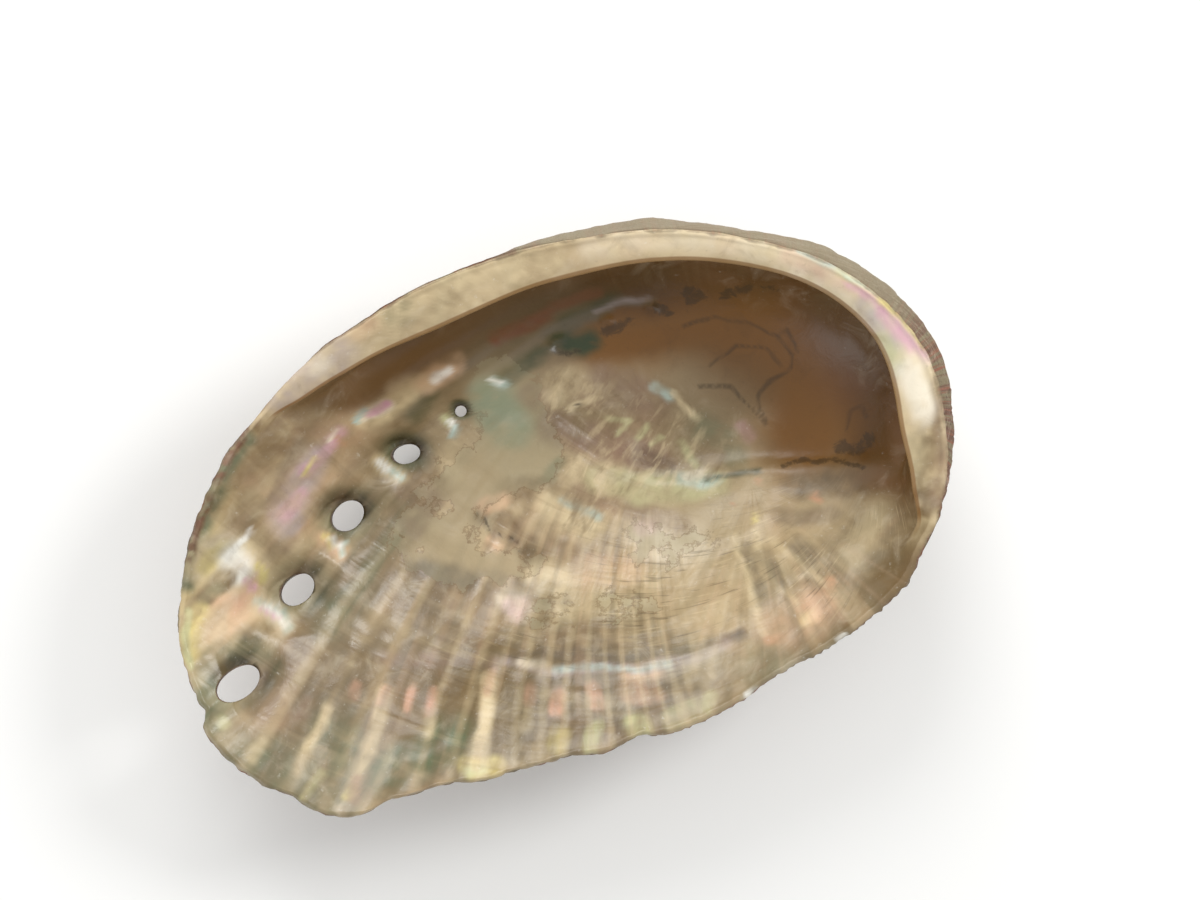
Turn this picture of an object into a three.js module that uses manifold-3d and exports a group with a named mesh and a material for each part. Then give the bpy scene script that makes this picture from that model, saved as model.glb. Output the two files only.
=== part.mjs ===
// Abalone shell, lying on its back with the bowl up. Millimetres, +Z up.
//
// The shell is shaped in its mouth frame: x to the right and y up when looking straight into the bowl,
// z towards the viewer, and z = 0 at the margin. The last step turns it onto its back, as it rests.
// The wall is a net of columns. Each runs from the margin down to one point of the floor, once along
// the outside and once along the inside, and the two nets share the margin and close one solid.
import * as THREE from 'three';
import Module from 'manifold-3d';

const { abs, atan2, cos, exp, hypot, log, max, min, PI, round, sin } = Math;
const rad = THREE.MathUtils.degToRad;
const { clamp, lerp, smoothstep: smooth } = THREE.MathUtils;

// Driving dimensions
const DEPTH = 36;             // margin to the outside of the floor
const LIP_THICKNESS = 1.3;
const FLOOR_THICKNESS = 3.2;
const NOSE = 0.9;             // roundness of the shelf's inner edge
const COLUMNS = 100;
const OUTSIDE_ROWS = 21;
const POLE = new THREE.Vector2(10, 5);      // where the columns meet on the floor
const APEX = new THREE.Vector2(48.5, 3.5);  // centre of the spiral that the shell grew along

const HOLE_SECTOR = [168, 222];  // azimuths between which the columns stand twice as close

// The margin seen from above the bowl, round from the notch below the last hole: along the outer lip,
// the right end, the shelf's outer edge and the left side.
const MARGIN = [
  [-71.0, -47.3], [-71.4, -50.1], [-70.3, -52.4], [-66.3, -56.4], [-61.1, -60.0], [-54.2, -63.2],
  [-50.6, -65.4], [-46.1, -66.1], [-41.9, -65.4], [-37.9, -62.9], [-34.0, -62.2], [-29.8, -60.7],
  [-25.8, -59.8], [-21.1, -59.8], [-16.6, -58.2], [-10.8, -56.9], [-4.7, -55.1], [0.9, -54.8],
  [4.3, -53.1], [7.6, -51.7], [11.6, -51.7], [16.6, -50.1], [22.4, -47.5], [26.7, -45.0],
  [29.8, -42.3], [34.3, -39.6], [39.8, -37.0], [44.3, -34.0], [49.2, -30.5], [52.9, -27.1],
  [55.7, -24.4], [57.3, -20.8], [58.9, -17.2], [61.1, -13.4], [62.2, -9.0], [63.1, -4.2],
  [63.1, 0.9], [62.5, 6.3], [61.6, 11.2], [59.8, 16.6], [56.4, 22.0], [51.7, 27.1],
  [46.1, 31.4], [40.1, 34.9], [33.4, 37.0], [26.2, 38.7], [19.0, 39.8], [11.2, 40.1],
  [3.6, 39.6], [-3.6, 38.5], [-10.8, 37.2], [-17.2, 35.4], [-23.1, 33.4], [-28.9, 31.1],
  [-34.0, 28.7], [-38.9, 25.8], [-44.3, 22.2], [-49.3, 19.0], [-52.8, 15.9], [-57.1, 11.6],
  [-61.1, 7.0], [-64.5, 2.9], [-67.8, -1.3], [-69.9, -5.6], [-71.7, -9.6], [-73.5, -14.5],
  [-74.8, -19.5], [-75.5, -24.9], [-76.1, -30.7], [-75.9, -34.3], [-75.2, -37.6], [-73.9, -41.9],
  [-72.5, -45.2],
];

// How the wall changes round the margin. By azimuth about the pole, in degrees: the margin's height, the
// width and the fall of the shelf, how far the shelf overhangs (0 to 1), the outside's angle at the
// margin, and how far the wall and the floor each pull the outside's curve.
const WALL = [
  [0, 0.0, 7.2, 3.6, 0.8, 116, 22, 24],
  [25, 0.0, 5.0, 3.0, 1.0, 116, 25, 22],
  [60, 0.0, 4.7, 2.4, 1.0, 108, 24, 18],
  [95, 0.0, 5.2, 2.6, 1.0, 113, 23, 18],
  [130, 0.0, 7.0, 3.2, 1.0, 104, 22, 22],
  [155, 0.6, 9.0, 3.4, 0.9, 80, 20, 30],
  [168, 1.0, 7.6, 2.8, 0.6, 62, 20, 36],
  [176, 1.0, 5.0, 1.8, 0.2, 57, 20, 40],
  [181, 0.8, 1.8, 0.6, 0.0, 54, 20, 43],
  [186, 0.5, 1.3, 0.4, 0.0, 53, 20, 45],
  [200, 0.2, 1.3, 0.4, 0.0, 50, 21, 48],
  [214, 0.8, 1.3, 0.4, 0.0, 40, 24, 50],
  [235, 1.0, 1.3, 0.4, 0.0, 32, 28, 46],
  [262, -0.5, 1.3, 0.4, 0.0, 40, 24, 32],
  [290, -1.5, 1.3, 0.4, 0.0, 48, 20, 24],
  [316, -1.0, 1.3, 0.4, 0.0, 54, 18, 24],
  [328, -0.6, 1.3, 0.4, 0.0, 62, 18, 25],
  [338, -0.4, 2.6, 1.0, 0.0, 80, 19, 25],
  [347, -0.2, 5.0, 2.2, 0.1, 98, 20, 25],
];

// Rows of the inside's columns: the margin's edge, the shelf, its nose, the hollow under it, the floor
const INSIDE_ROWS = { edge: 2, shelf: 3, nose: 3, under: 3, floor: 14 };

// Open holes, from the newest at the notch: centre, length and width, the long axis's direction, and how
// far the tube round the hole stands out from the wall
const HOLES = [
  { x: -66.2, y: -42.8, long: 8.4, wide: 5.6, turn: 38, tube: 0.4 },
  { x: -57.0, y: -26.4, long: 7.1, wide: 5.3, turn: 40, tube: 0.9 },
  { x: -48.2, y: -12.6, long: 6.9, wide: 5.2, turn: 41, tube: 1.1 },
  { x: -37.3, y: -0.8, long: 5.6, wide: 3.8, turn: 12, tube: 1.2 },
  { x: -26.9, y: 7.5, long: 2.6, wide: 2.4, turn: 0, tube: 1.0 },
];
const HOLE_LEAN = 0.15;       // how far a hole's axis leans from the plan's normal to the wall's
const TUBE_WALL = 1.2;
const TUBE_FLARE = 1.6;       // how much wider a tube is at its foot
const HOLE_SIDES = 20;
const SWELL = 1.7;            // how far the wall itself bends outwards round a hole
const SWELL_REACH = 3.4;      // how far from the hole's edge it does

// Older holes that the shell has closed: a pit inside and a worn knob outside
const CLOSED_HOLES = [
  { x: -17.7, y: 13.8, pit: 2.1 },
  { x: -8.0, y: 20.2, pit: 1.9 },
  { x: 1.4, y: 24.4, pit: 1.6 },
  { x: 9.8, y: 27.0, pit: 1.3 },
];
const KNOB_HEIGHT = 1.3;
const PIT_DEPTH = 1.0;

// The spiral of growth: radius from the apex grows by WHORL + OPENING·radius for each radian
const WHORL = 0.17;
const OPENING = 0.0105;
const HOLE_ROW = -22.58;      // cord number of the row of holes
const SUTURE_AT = new THREE.Vector2(56.4, -22.6);  // where the last whorl's seam meets the margin

// How the shell rests: turned about an axis in the margin's plane, then set with its length along X
const REST_AXIS_ANGLE = -21;
const REST_TILT = 5.8;
const LONG_AXIS_ANGLE = 27.5;

/** A value that rises and falls gently over the plan, between -1 and 1, for a grown unevenness. */
function lumps(x, y, size) {
  const u = x / size;
  const v = y / size;
  return 0.5 * sin(2.1 * u + 1.3 * v + 0.7) * sin(1.7 * v - 0.9 * u + 2.1)
    + 0.5 * sin(3.7 * v + 1.1 * u) * sin(2.9 * u - 0.6 * v + 1.2);
}

/** The spiral's own coordinates: cord is constant along a cord, growth along an old margin. */
function spiral(x, y) {
  const dx = x - APEX.x;
  const dy = y - APEX.y;
  const radius = hypot(dx, dy) + 1e-6;
  const turn = (atan2(dy, dx) + 2 * PI) % (2 * PI);
  const pitch = WHORL + OPENING * radius;
  return {
    radius,
    pitch,
    cord: turn - log(radius / pitch) / WHORL,
    growth: turn + WHORL * log(radius) + OPENING * radius,
  };
}

const SUTURE = spiral(SUTURE_AT.x, SUTURE_AT.y).cord;

/** A closed curve through the points, as count points evenly spaced along it. */
function closedCurve(points, count) {
  const curve = new THREE.CatmullRomCurve3(
    points.map(([x, y]) => new THREE.Vector3(x, y, 0)), true, 'catmullrom', 0.5);
  curve.arcLengthDivisions = 4 * count;
  return curve.getSpacedPoints(count).slice(0, count).map((p) => new THREE.Vector2(p.x, p.y));
}

/** The ring averaged along itself, over about reach points each way. */
function softened(ring, reach) {
  const weights = [];
  for (let k = -2 * reach; k <= 2 * reach; k += 1) weights.push(exp(-0.5 * (k / reach) ** 2));
  const total = weights.reduce((sum, w) => sum + w, 0);
  return ring.map((_, i) => {
    const mean = new THREE.Vector2();
    weights.forEach((w, j) => {
      const k = (i + j - 2 * reach + ring.length) % ring.length;
      mean.addScaledVector(ring[k], w / total);
    });
    return mean;
  });
}

/** Which points of a ring the columns stand at: closer together beside the row of holes. */
function denser(azimuths, count) {
  const [first, last] = HOLE_SECTOR;
  const weights = azimuths.map((azimuth) => (
    1 + smooth(azimuth, first, first + 8) * (1 - smooth(azimuth, last - 8, last))));
  const total = weights.reduce((sum, w) => sum + w, 0);
  const picked = [];
  let passed = 0;
  weights.forEach((weight, i) => {
    if (passed * count >= picked.length * total && picked.length < count) picked.push(i);
    passed += weight;
  });
  return picked;
}

/** The WALL row at an azimuth, eased between its neighbours. */
function wallAt(azimuth) {
  const count = WALL.length;
  const row = (i) => {
    const turns = Math.floor(i / count);
    const found = WALL[i - turns * count];
    return [found[0] + 360 * turns, ...found.slice(1)];
  };
  let i = count - 1;
  while (i >= 0 && WALL[i][0] > azimuth) i -= 1;
  const [before, from, to, after] = [row(i - 1), row(i), row(i + 1), row(i + 2)];
  const span = to[0] - from[0];
  const t = (azimuth - from[0]) / span;
  const values = from.slice(1).map((value, k) => {
    const slopeFrom = (to[k + 1] - before[k + 1]) / (to[0] - before[0]);
    const slopeTo = (after[k + 1] - value) / (after[0] - from[0]);
    return (2 * t ** 3 - 3 * t ** 2 + 1) * value + (t ** 3 - 2 * t ** 2 + t) * span * slopeFrom
      + (3 * t ** 2 - 2 * t ** 3) * to[k + 1] + (t ** 3 - t ** 2) * span * slopeTo;
  });
  const [height, shelf, fall, overhang, angle, wallPull, floorPull] = values;
  return { height, shelf, fall, overhang: clamp(overhang, 0, 1), angle: rad(angle), wallPull, floorPull };
}

/** Evenly spaced points of a polyline, where a turn of one radian counts as turnLength more. */
function spaced(line, rows, turnLength) {
  const along = [0];
  for (let i = 1; i < line.length; i += 1) {
    let step = line[i].distanceTo(line[i - 1]);
    if (i > 1) {
      const a = line[i].clone().sub(line[i - 1]);
      const b = line[i - 1].clone().sub(line[i - 2]);
      if (a.length() > 1e-9 && b.length() > 1e-9) step += turnLength * abs(a.angleTo(b));
    }
    along.push(along[i - 1] + step);
  }
  const points = [];
  let j = 0;
  for (let k = 0; k <= rows; k += 1) {
    const want = (k / rows) * along.at(-1);
    while (j < along.length - 2 && along[j + 1] < want) j += 1;
    const t = (want - along[j]) / max(along[j + 1] - along[j], 1e-9);
    points.push(line[j].clone().lerp(line[j + 1], clamp(t, 0, 1)));
  }
  return points;
}

/** One column's outside and inside, as points (distance from the pole, height). */
function column(reach, wall) {
  const { height, shelf, fall, overhang, angle, wallPull, floorPull } = wall;
  const margin = new THREE.Vector2(reach, height);
  const outer = new THREE.CubicBezierCurve(
    margin,
    new THREE.Vector2(reach - wallPull * cos(angle), height - wallPull * sin(angle)),
    new THREE.Vector2(floorPull, -DEPTH),
    new THREE.Vector2(0, -DEPTH));
  const fine = 120;
  const outside = outer.getPoints(fine);
  const inner = outside.map((point, i) => {
    const t = i / fine;
    const along = outer.getTangent(t);
    const thickness = lerp(LIP_THICKNESS, FLOOR_THICKNESS, smooth(t, 0, 0.35));
    return new THREE.Vector2(point.x + along.y * thickness, point.y - along.x * thickness);
  });
  inner.at(-1).x = 0;

  const lengths = [0];
  for (let i = 1; i < inner.length; i += 1) {
    lengths.push(lengths[i - 1] + inner[i].distanceTo(inner[i - 1]));
  }
  const innerAt = (length) => {
    let i = 1;
    while (i < inner.length - 1 && lengths[i] < length) i += 1;
    const t = (length - lengths[i - 1]) / (lengths[i] - lengths[i - 1]);
    return inner[i - 1].clone().lerp(inner[i], clamp(t, 0, 1));
  };

  const lip = inner[0];
  const width = max(shelf - LIP_THICKNESS, 0);
  const shelved = smooth(shelf, 1.3, 5);
  const below = lengths[min(inner.findIndex((p) => p.x <= lip.x - width - 1.5), fine)];
  const meets = lerp(6, lerp(below, fall + 6, overhang), shelved);
  const wallFoot = innerAt(meets);
  const edgeOut = outer.getTangent(0).multiplyScalar(-0.18 * LIP_THICKNESS);
  const edge = [0, 0.25, 0.75, 1].map((t) => {
    const point = margin.clone().lerp(lip, t);
    return t > 0 && t < 1 ? point.add(edgeOut) : point;
  });
  const onShelf = (across, down, dx, dy) => new THREE.Vector2(
    lip.x - across * width + dx * NOSE, lip.y - down * fall + dy * NOSE);
  const shelfPoints = [
    onShelf(0.3, 0.2, 0, 0), onShelf(0.65, 0.52, 0, 0), onShelf(0.94, 0.9, 0, 0),
    onShelf(1, 1, -0.45, -0.55), onShelf(1, 1, 0.25, -1.65),
  ];
  const hollow = shelfPoints[4].clone().lerp(wallFoot, 0.5);
  hollow.add(new THREE.Vector2(0.15, 0.35).multiplyScalar(0.25 * width * overhang));
  const ledge = [...shelfPoints, hollow].map((point, j) => (
    innerAt((meets * (j + 1)) / 7).lerp(point, shelved)));

  const knots = [...edge, ...ledge, wallFoot];
  const curve = new THREE.CatmullRomCurve3(
    knots.map((p) => new THREE.Vector3(p.x, p.y, 0)), false, 'centripetal');
  const part = (from, to) => {
    const line = [];
    for (let k = 0; k <= 20; k += 1) {
      const p = curve.getPoint(lerp(from, to, k / 20) / (knots.length - 1));
      line.push(new THREE.Vector2(p.x, p.y));
    }
    return line;
  };
  const foot = lengths.findIndex((length) => length > meets);
  const rows = INSIDE_ROWS;
  const inside = [
    ...spaced(part(0, 3), rows.edge, 0),
    ...spaced(part(3, 6), rows.shelf, 0).slice(1),
    ...spaced(part(6, 8), rows.nose, 0).slice(1),
    ...spaced(part(8, 10), rows.under, 0).slice(1),
    ...spaced([wallFoot, ...inner.slice(foot)], rows.floor, 2).slice(1),
  ];
  return { outside: spaced(outside, OUTSIDE_ROWS, 4), inside };
}

/** How far the wall bends outwards at a place because of the open holes near it. */
function holeSwell(x, y) {
  return HOLES.reduce((swell, { x: cx, y: cy, long, wide, turn }) => {
    const away = hypot(x - cx, y - cy) - (long + wide) / 4;
    const size = min(1, long / 6);
    return max(swell, size * SWELL * exp(-((max(away, 0) / SWELL_REACH) ** 2)));
  }, 0);
}

/** How far the outside stands out, by its place: cords, growth ledges, whorls and the row's shoulder. */
function outsideRelief(x, y) {
  const { radius, pitch, cord, growth } = spiral(x, y);
  const spread = radius * pitch;
  const old = smooth(radius, 6, 40);
  const crown = smooth(hypot(x - POLE.x, y - POLE.y), 3, 16);
  const cords = 0.4 * old * crown * cos(34 * (cord - HOLE_ROW)) + 0.2 * old * crown * lumps(x, y, 7);
  const step = (growth * 2.4) % 1;
  const ledges = 0.8 * old * crown * (smooth(step, 0, 0.75) - smooth(step, 0.75, 1) - 0.4);
  const row = (cord - HOLE_ROW) * spread;
  const shoulder = 1.0 * smooth(radius, 12, 40) * exp(-((row / 6) ** 2));
  const whorl = (SUTURE - cord) / (2 * PI);
  const across = whorl - Math.floor(whorl);
  const size = min(radius, 24) / 24;
  const inWhorl = whorl < 0 ? 1 : 1 - smooth(across, 0.15, 0.5);
  const seam = -1.7 * exp(-((min(across, 1 - across) / 0.07) ** 2)) * smooth(radius, 1, 6)
    * (1 - smooth(whorl, 0.3, 0.7));
  const bulge = 2.0 * size * sin(PI * min(across * 1.6, 1)) * inWhorl * (1 - smooth(radius, 20, 34));
  const spire = 1.6 * exp(-((radius / 8) ** 2));
  return cords + ledges + shoulder + seam + bulge + spire + holeSwell(x, y);
}

/** How far the inside rises into the bowl, by its place: the scar, the ridges and the last growth step. */
function insideRelief(x, y) {
  const { radius, pitch, cord, growth } = spiral(x, y);
  const row = (cord - HOLE_ROW) * radius * pitch;
  const channel = -0.9 * smooth(radius, 28, 60) * exp(-((row / 4.5) ** 2));
  const step = 0.35 * (1 - smooth(growth, 5.24, 5.34)) + 0.3 * exp(-(((growth - 5.3) / 0.035) ** 2));
  const folds = 0.22 * smooth(radius, 40, 90) * cos(34 * (cord - HOLE_ROW));
  const scar = 0.6 * (1 - smooth(hypot((x + 18) / 22, (y + 8) / 17) + 0.16 * lumps(x, y, 6), 0.7, 1));
  const crease = 1.0 * exp(-(((y + 4.2 - 0.05 * (x - 38)) / 2.4) ** 2)) * exp(-(((x - 38) / 19) ** 4));
  const bridge = 0.7 * exp(-(((y + 6.5 + 0.08 * x) / 2.6) ** 2)) * exp(-(((x - 7) / 15) ** 4));
  return channel + step + folds + scar + crease + bridge + 0.25 * lumps(x, y, 12) - holeSwell(x, y);
}

/** A net of columns by rows, moved by the relief: up along its normals with side 1, down with -1. */
function relieved(net, relief, side, fadeIn) {
  const count = net.length;
  const rows = net[0].length;
  const at = (i, j) => net[(i + count) % count][clamp(j, 0, rows - 1)];
  return net.map((points, i) => points.map((point, j) => {
    if (j === 0) return point;
    if (j === rows - 1) {
      return point.clone().setZ(point.z + side * relief(point.x, point.y));
    }
    const along = at(i + 1, j).clone().sub(at(i - 1, j));
    const down = at(i, j + 1).clone().sub(at(i, j - 1));
    const normal = along.cross(down).normalize();
    return point.clone().addScaledVector(normal, side * relief(point.x, point.y) * fadeIn(j));
  }));
}

/** The outside and inside nets in the mouth frame, each an array of columns of points. */
function shellNets() {
  const fineCount = 12 * COLUMNS;
  const fine = closedCurve(MARGIN, fineCount);
  const soft = softened(fine, round(fineCount / 43));
  const azimuths = soft.map((point) => THREE.MathUtils.radToDeg(point.clone().sub(POLE).angle()));
  const outside = [];
  const inside = [];
  for (const i of denser(azimuths, COLUMNS)) {
    const centre = soft[i].clone().sub(POLE);
    const scallop = fine[i].clone().sub(soft[i]);
    const reach = centre.length();
    const direction = centre.clone().divideScalar(reach);
    const lift = (point) => {
      const held = clamp(point.x / reach, 0, 1.05) ** 16;
      return new THREE.Vector3(
        POLE.x + direction.x * point.x + scallop.x * held,
        POLE.y + direction.y * point.x + scallop.y * held,
        point.y);
    };
    const profile = column(reach, wallAt(azimuths[i]));
    outside.push(profile.outside.map(lift));
    inside.push(profile.inside.map(lift));
  }
  const shelfRows = INSIDE_ROWS.edge + INSIDE_ROWS.shelf + INSIDE_ROWS.nose + INSIDE_ROWS.under;
  return {
    outside: relieved(outside, outsideRelief, -1, (row) => smooth(row, 0, 3)),
    inside: relieved(inside, insideRelief, 1, (row) => smooth(row, shelfRows - 1, shelfRows + 3)),
  };
}

/** Joins the two nets in one closed geometry, with fewer columns towards the pole. */
function shellGeometry(nets) {
  const positions = [];
  const index = [];
  const rings = new Map();
  const ring = (net, name, row) => {
    const shared = row === 0 ? 'margin' : `${name}${row}`;
    if (!rings.has(shared)) {
      const last = net[0].length - 1;
      let every = 1;
      if (row > 0.55 * last) every = 2;
      if (row > 0.8 * last) every = 4;
      if (row === last) every = COLUMNS;
      const start = positions.length / 3;
      for (let i = 0; i < COLUMNS; i += every) positions.push(...net[i][row].toArray());
      rings.set(shared, { start, count: COLUMNS / every });
    }
    return rings.get(shared);
  };
  const face = (a, b, c, outward) => index.push(...(outward ? [a, b, c] : [a, c, b]));
  for (const [name, net, outward] of [['out', nets.outside, true], ['in', nets.inside, false]]) {
    for (let row = 0; row < net[0].length - 1; row += 1) {
      const a = ring(net, name, row);
      const b = ring(net, name, row + 1);
      const times = b.count === 1 ? a.count : a.count / b.count;
      for (let i = 0; i < a.count; i += 1) {
        const here = a.start + i;
        const next = a.start + ((i + 1) % a.count);
        const under = b.start + (b.count === 1 ? 0 : Math.floor(i / times));
        const underNext = b.start + (b.count === 1 ? 0 : Math.floor((i + 1) / times) % b.count);
        face(here, under, next, outward);
        if (under !== underNext) face(next, under, underNext, outward);
      }
    }
  }
  const geometry = new THREE.BufferGeometry();
  geometry.setAttribute('position', new THREE.Float32BufferAttribute(positions, 3));
  geometry.setIndex(index);
  return geometry;
}

/** The point of a net nearest to a place in the plan, with the height there and the wall's slope. */
function nearest(net, x, y, fromRow) {
  let best = null;
  let least = Infinity;
  net.forEach((points, i) => points.forEach((point, j) => {
    const away = hypot(point.x - x, point.y - y);
    if (j >= fromRow && j < points.length - 1 && away < least) {
      least = away;
      best = [i, j];
    }
  }));
  const [i, j] = best;
  const point = net[i][j];
  const along = net[(i + 1) % net.length][j].clone().sub(net[(i + net.length - 1) % net.length][j]);
  const down = net[i][j + 1].clone().sub(net[i][j - 1]);
  const normal = along.cross(down).normalize();
  if (normal.z > 0) normal.negate();
  const z = point.z - ((x - point.x) * normal.x + (y - point.y) * normal.y) / normal.z;
  return { place: new THREE.Vector3(x, y, z), outward: normal };
}

/** An oval plug from one place to another along an axis, with its own width at each end. */
function ovalPlug(place, axis, turn, from, to, sizeFrom, sizeTo, sides) {
  const positions = [];
  const index = [];
  const across = new THREE.Vector3(cos(rad(turn)), sin(rad(turn)), 0);
  across.addScaledVector(axis, -across.dot(axis)).normalize();
  const other = axis.clone().cross(across);
  for (const [distance, [long, wide]] of [[from, sizeFrom], [to, sizeTo]]) {
    for (let k = 0; k < sides; k += 1) {
      const angle = (2 * PI * k) / sides;
      const point = place.clone().addScaledVector(axis, distance);
      point.addScaledVector(across, 0.5 * long * cos(angle));
      point.addScaledVector(other, 0.5 * wide * sin(angle));
      positions.push(...point.toArray());
    }
  }
  for (let k = 0; k < sides; k += 1) {
    const next = (k + 1) % sides;
    index.push(k, next, sides + k, next, sides + next, sides + k);
    if (k > 0 && k < sides - 1) {
      index.push(0, k + 1, k);
      index.push(sides, sides + k, sides + k + 1);
    }
  }
  const geometry = new THREE.BufferGeometry();
  geometry.setAttribute('position', new THREE.Float32BufferAttribute(positions, 3));
  geometry.setIndex(index);
  return geometry;
}

const wasm = await Module();
wasm.setup();

/** The closed geometry as a solid that can be joined and cut. */
function solid(geometry) {
  return new wasm.Manifold(new wasm.Mesh({
    numProp: 3,
    vertProperties: new Float32Array(geometry.attributes.position.array),
    triVerts: new Uint32Array(geometry.index.array),
  }));
}

/** The shell with its tubes and knobs joined on and its holes and pits cut. */
function shellSolid() {
  const nets = shellNets();
  let shell = solid(shellGeometry(nets));
  const cuts = [];
  const outwards = new THREE.Vector3(0, 0, -1);
  for (const { x, y, long, wide, turn, tube } of HOLES) {
    const inner = nearest(nets.inside, x, y, 8);
    const outer = nearest(nets.outside, x, y, 1);
    const axis = outwards.clone().lerp(outer.outward, HOLE_LEAN).normalize();
    const wider = (by) => [long + 2 * by, wide + 2 * by];
    const wall = outer.place.distanceTo(inner.place);
    shell = shell.add(solid(ovalPlug(
      inner.place, axis, turn, 0.55 * wall, wall + tube,
      wider(TUBE_WALL + TUBE_FLARE), wider(TUBE_WALL), HOLE_SIDES)));
    cuts.push(ovalPlug(inner.place, axis, turn, -6, wall + tube + 8, wider(0), wider(0), HOLE_SIDES));
  }
  for (const { x, y, pit } of CLOSED_HOLES) {
    const inner = nearest(nets.inside, x, y, 8);
    const outer = nearest(nets.outside, x, y, 1);
    shell = shell.add(solid(ovalPlug(
      outer.place, outer.outward, 0, -1.2, KNOB_HEIGHT,
      [4.2 * pit, 3.8 * pit], [1.8 * pit, 1.6 * pit], 10)));
    cuts.push(ovalPlug(
      inner.place, inner.outward, 0, -PIT_DEPTH, PIT_DEPTH,
      [2.4 * pit, 2.1 * pit], [1.0 * pit, 0.9 * pit], 10));
  }
  for (const cut of cuts) shell = shell.subtract(solid(cut));
  return shell;
}

/** The finished shell as a geometry, turned onto its back, with its origin under the middle of its box. */
function restingGeometry() {
  const { vertProperties, triVerts } = shellSolid().getMesh();
  const geometry = new THREE.BufferGeometry();
  geometry.setAttribute('position', new THREE.Float32BufferAttribute(vertProperties, 3));
  geometry.setIndex([...triVerts]);
  const axis = new THREE.Vector3(cos(rad(REST_AXIS_ANGLE)), sin(rad(REST_AXIS_ANGLE)), 0);
  geometry.applyMatrix4(new THREE.Matrix4().makeRotationAxis(axis, rad(REST_TILT)));
  geometry.rotateZ(rad(-LONG_AXIS_ANGLE));
  geometry.computeBoundingBox();
  const { min: low, max: high } = geometry.boundingBox;
  geometry.translate(-(low.x + high.x) / 2, -(low.y + high.y) / 2, -low.z);
  geometry.computeVertexNormals();
  return geometry;
}

const nacre = new THREE.MeshStandardMaterial({ color: 0xcbb594, roughness: 0.3, metalness: 0 });
const shell = new THREE.Mesh(restingGeometry(), nacre);
shell.name = 'shell';

const group = new THREE.Group();
group.add(shell);

export default group;
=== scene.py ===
import math

import bpy
import numpy as np
from mathutils import Matrix, Vector


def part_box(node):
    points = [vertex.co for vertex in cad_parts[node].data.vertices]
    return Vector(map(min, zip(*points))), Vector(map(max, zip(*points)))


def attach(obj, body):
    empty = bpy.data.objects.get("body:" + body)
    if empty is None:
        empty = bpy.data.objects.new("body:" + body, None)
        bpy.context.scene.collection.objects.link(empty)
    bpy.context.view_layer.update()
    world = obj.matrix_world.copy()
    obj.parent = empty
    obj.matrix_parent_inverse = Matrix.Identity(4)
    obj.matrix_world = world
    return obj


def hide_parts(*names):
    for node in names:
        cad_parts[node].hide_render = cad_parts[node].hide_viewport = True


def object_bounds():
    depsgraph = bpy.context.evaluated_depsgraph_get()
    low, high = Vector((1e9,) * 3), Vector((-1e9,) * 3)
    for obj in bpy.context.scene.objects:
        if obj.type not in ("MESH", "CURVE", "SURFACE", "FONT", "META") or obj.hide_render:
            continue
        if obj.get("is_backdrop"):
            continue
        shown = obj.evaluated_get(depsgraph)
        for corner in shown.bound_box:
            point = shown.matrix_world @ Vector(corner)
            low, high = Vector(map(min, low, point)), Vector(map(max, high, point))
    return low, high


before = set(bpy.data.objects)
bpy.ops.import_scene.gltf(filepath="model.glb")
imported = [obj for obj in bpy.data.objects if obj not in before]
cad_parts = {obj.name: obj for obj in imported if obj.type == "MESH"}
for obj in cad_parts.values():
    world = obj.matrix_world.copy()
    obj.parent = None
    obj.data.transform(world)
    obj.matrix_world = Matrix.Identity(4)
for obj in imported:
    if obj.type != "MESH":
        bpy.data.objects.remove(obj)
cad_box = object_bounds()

bl_info = {
    "name": "Abalone shell",
    "version": (1, 0, 0),
    "blender": (4, 5, 0),
    "location": "View3D > Sidebar > Shell",
    "description": "Builds an abalone shell lying on its back, with its nacre bowl, shelf and row of holes",
    "category": "Add Mesh",
}

MM = 0.001

# The shell is shaped in its mouth frame, in millimetres: x to the right and y up when looking straight into
# the bowl, z towards the viewer, and z = 0 at the margin. It rests turned onto its back, with this frame's
# origin at MOUTH_AT, in metres.
REST_AXIS_ANGLE = math.radians(-21)
REST_TILT = math.radians(5.8)
LONG_AXIS_ANGLE = math.radians(27.5)
MOUTH_AT = (0.011114, 0.005541, 0.036431)

POLE = np.array([10.0, 5.0])      # where the columns of the wall meet on the floor
APEX = np.array([48.5, 3.5])      # centre of the spiral that the shell grew along
WHORL, OPENING = 0.17, 0.0105     # the spiral's radius grows by WHORL + OPENING * radius a radian
HOLE_ROW = -22.58                 # cord number of the row of holes
CORDS_A_TURN = 34                 # coarse cords of the back and folds of the lip in one turn of the spiral
SUTURE_AT = (56.4, -22.6)         # where the last whorl's seam meets the margin

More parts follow.
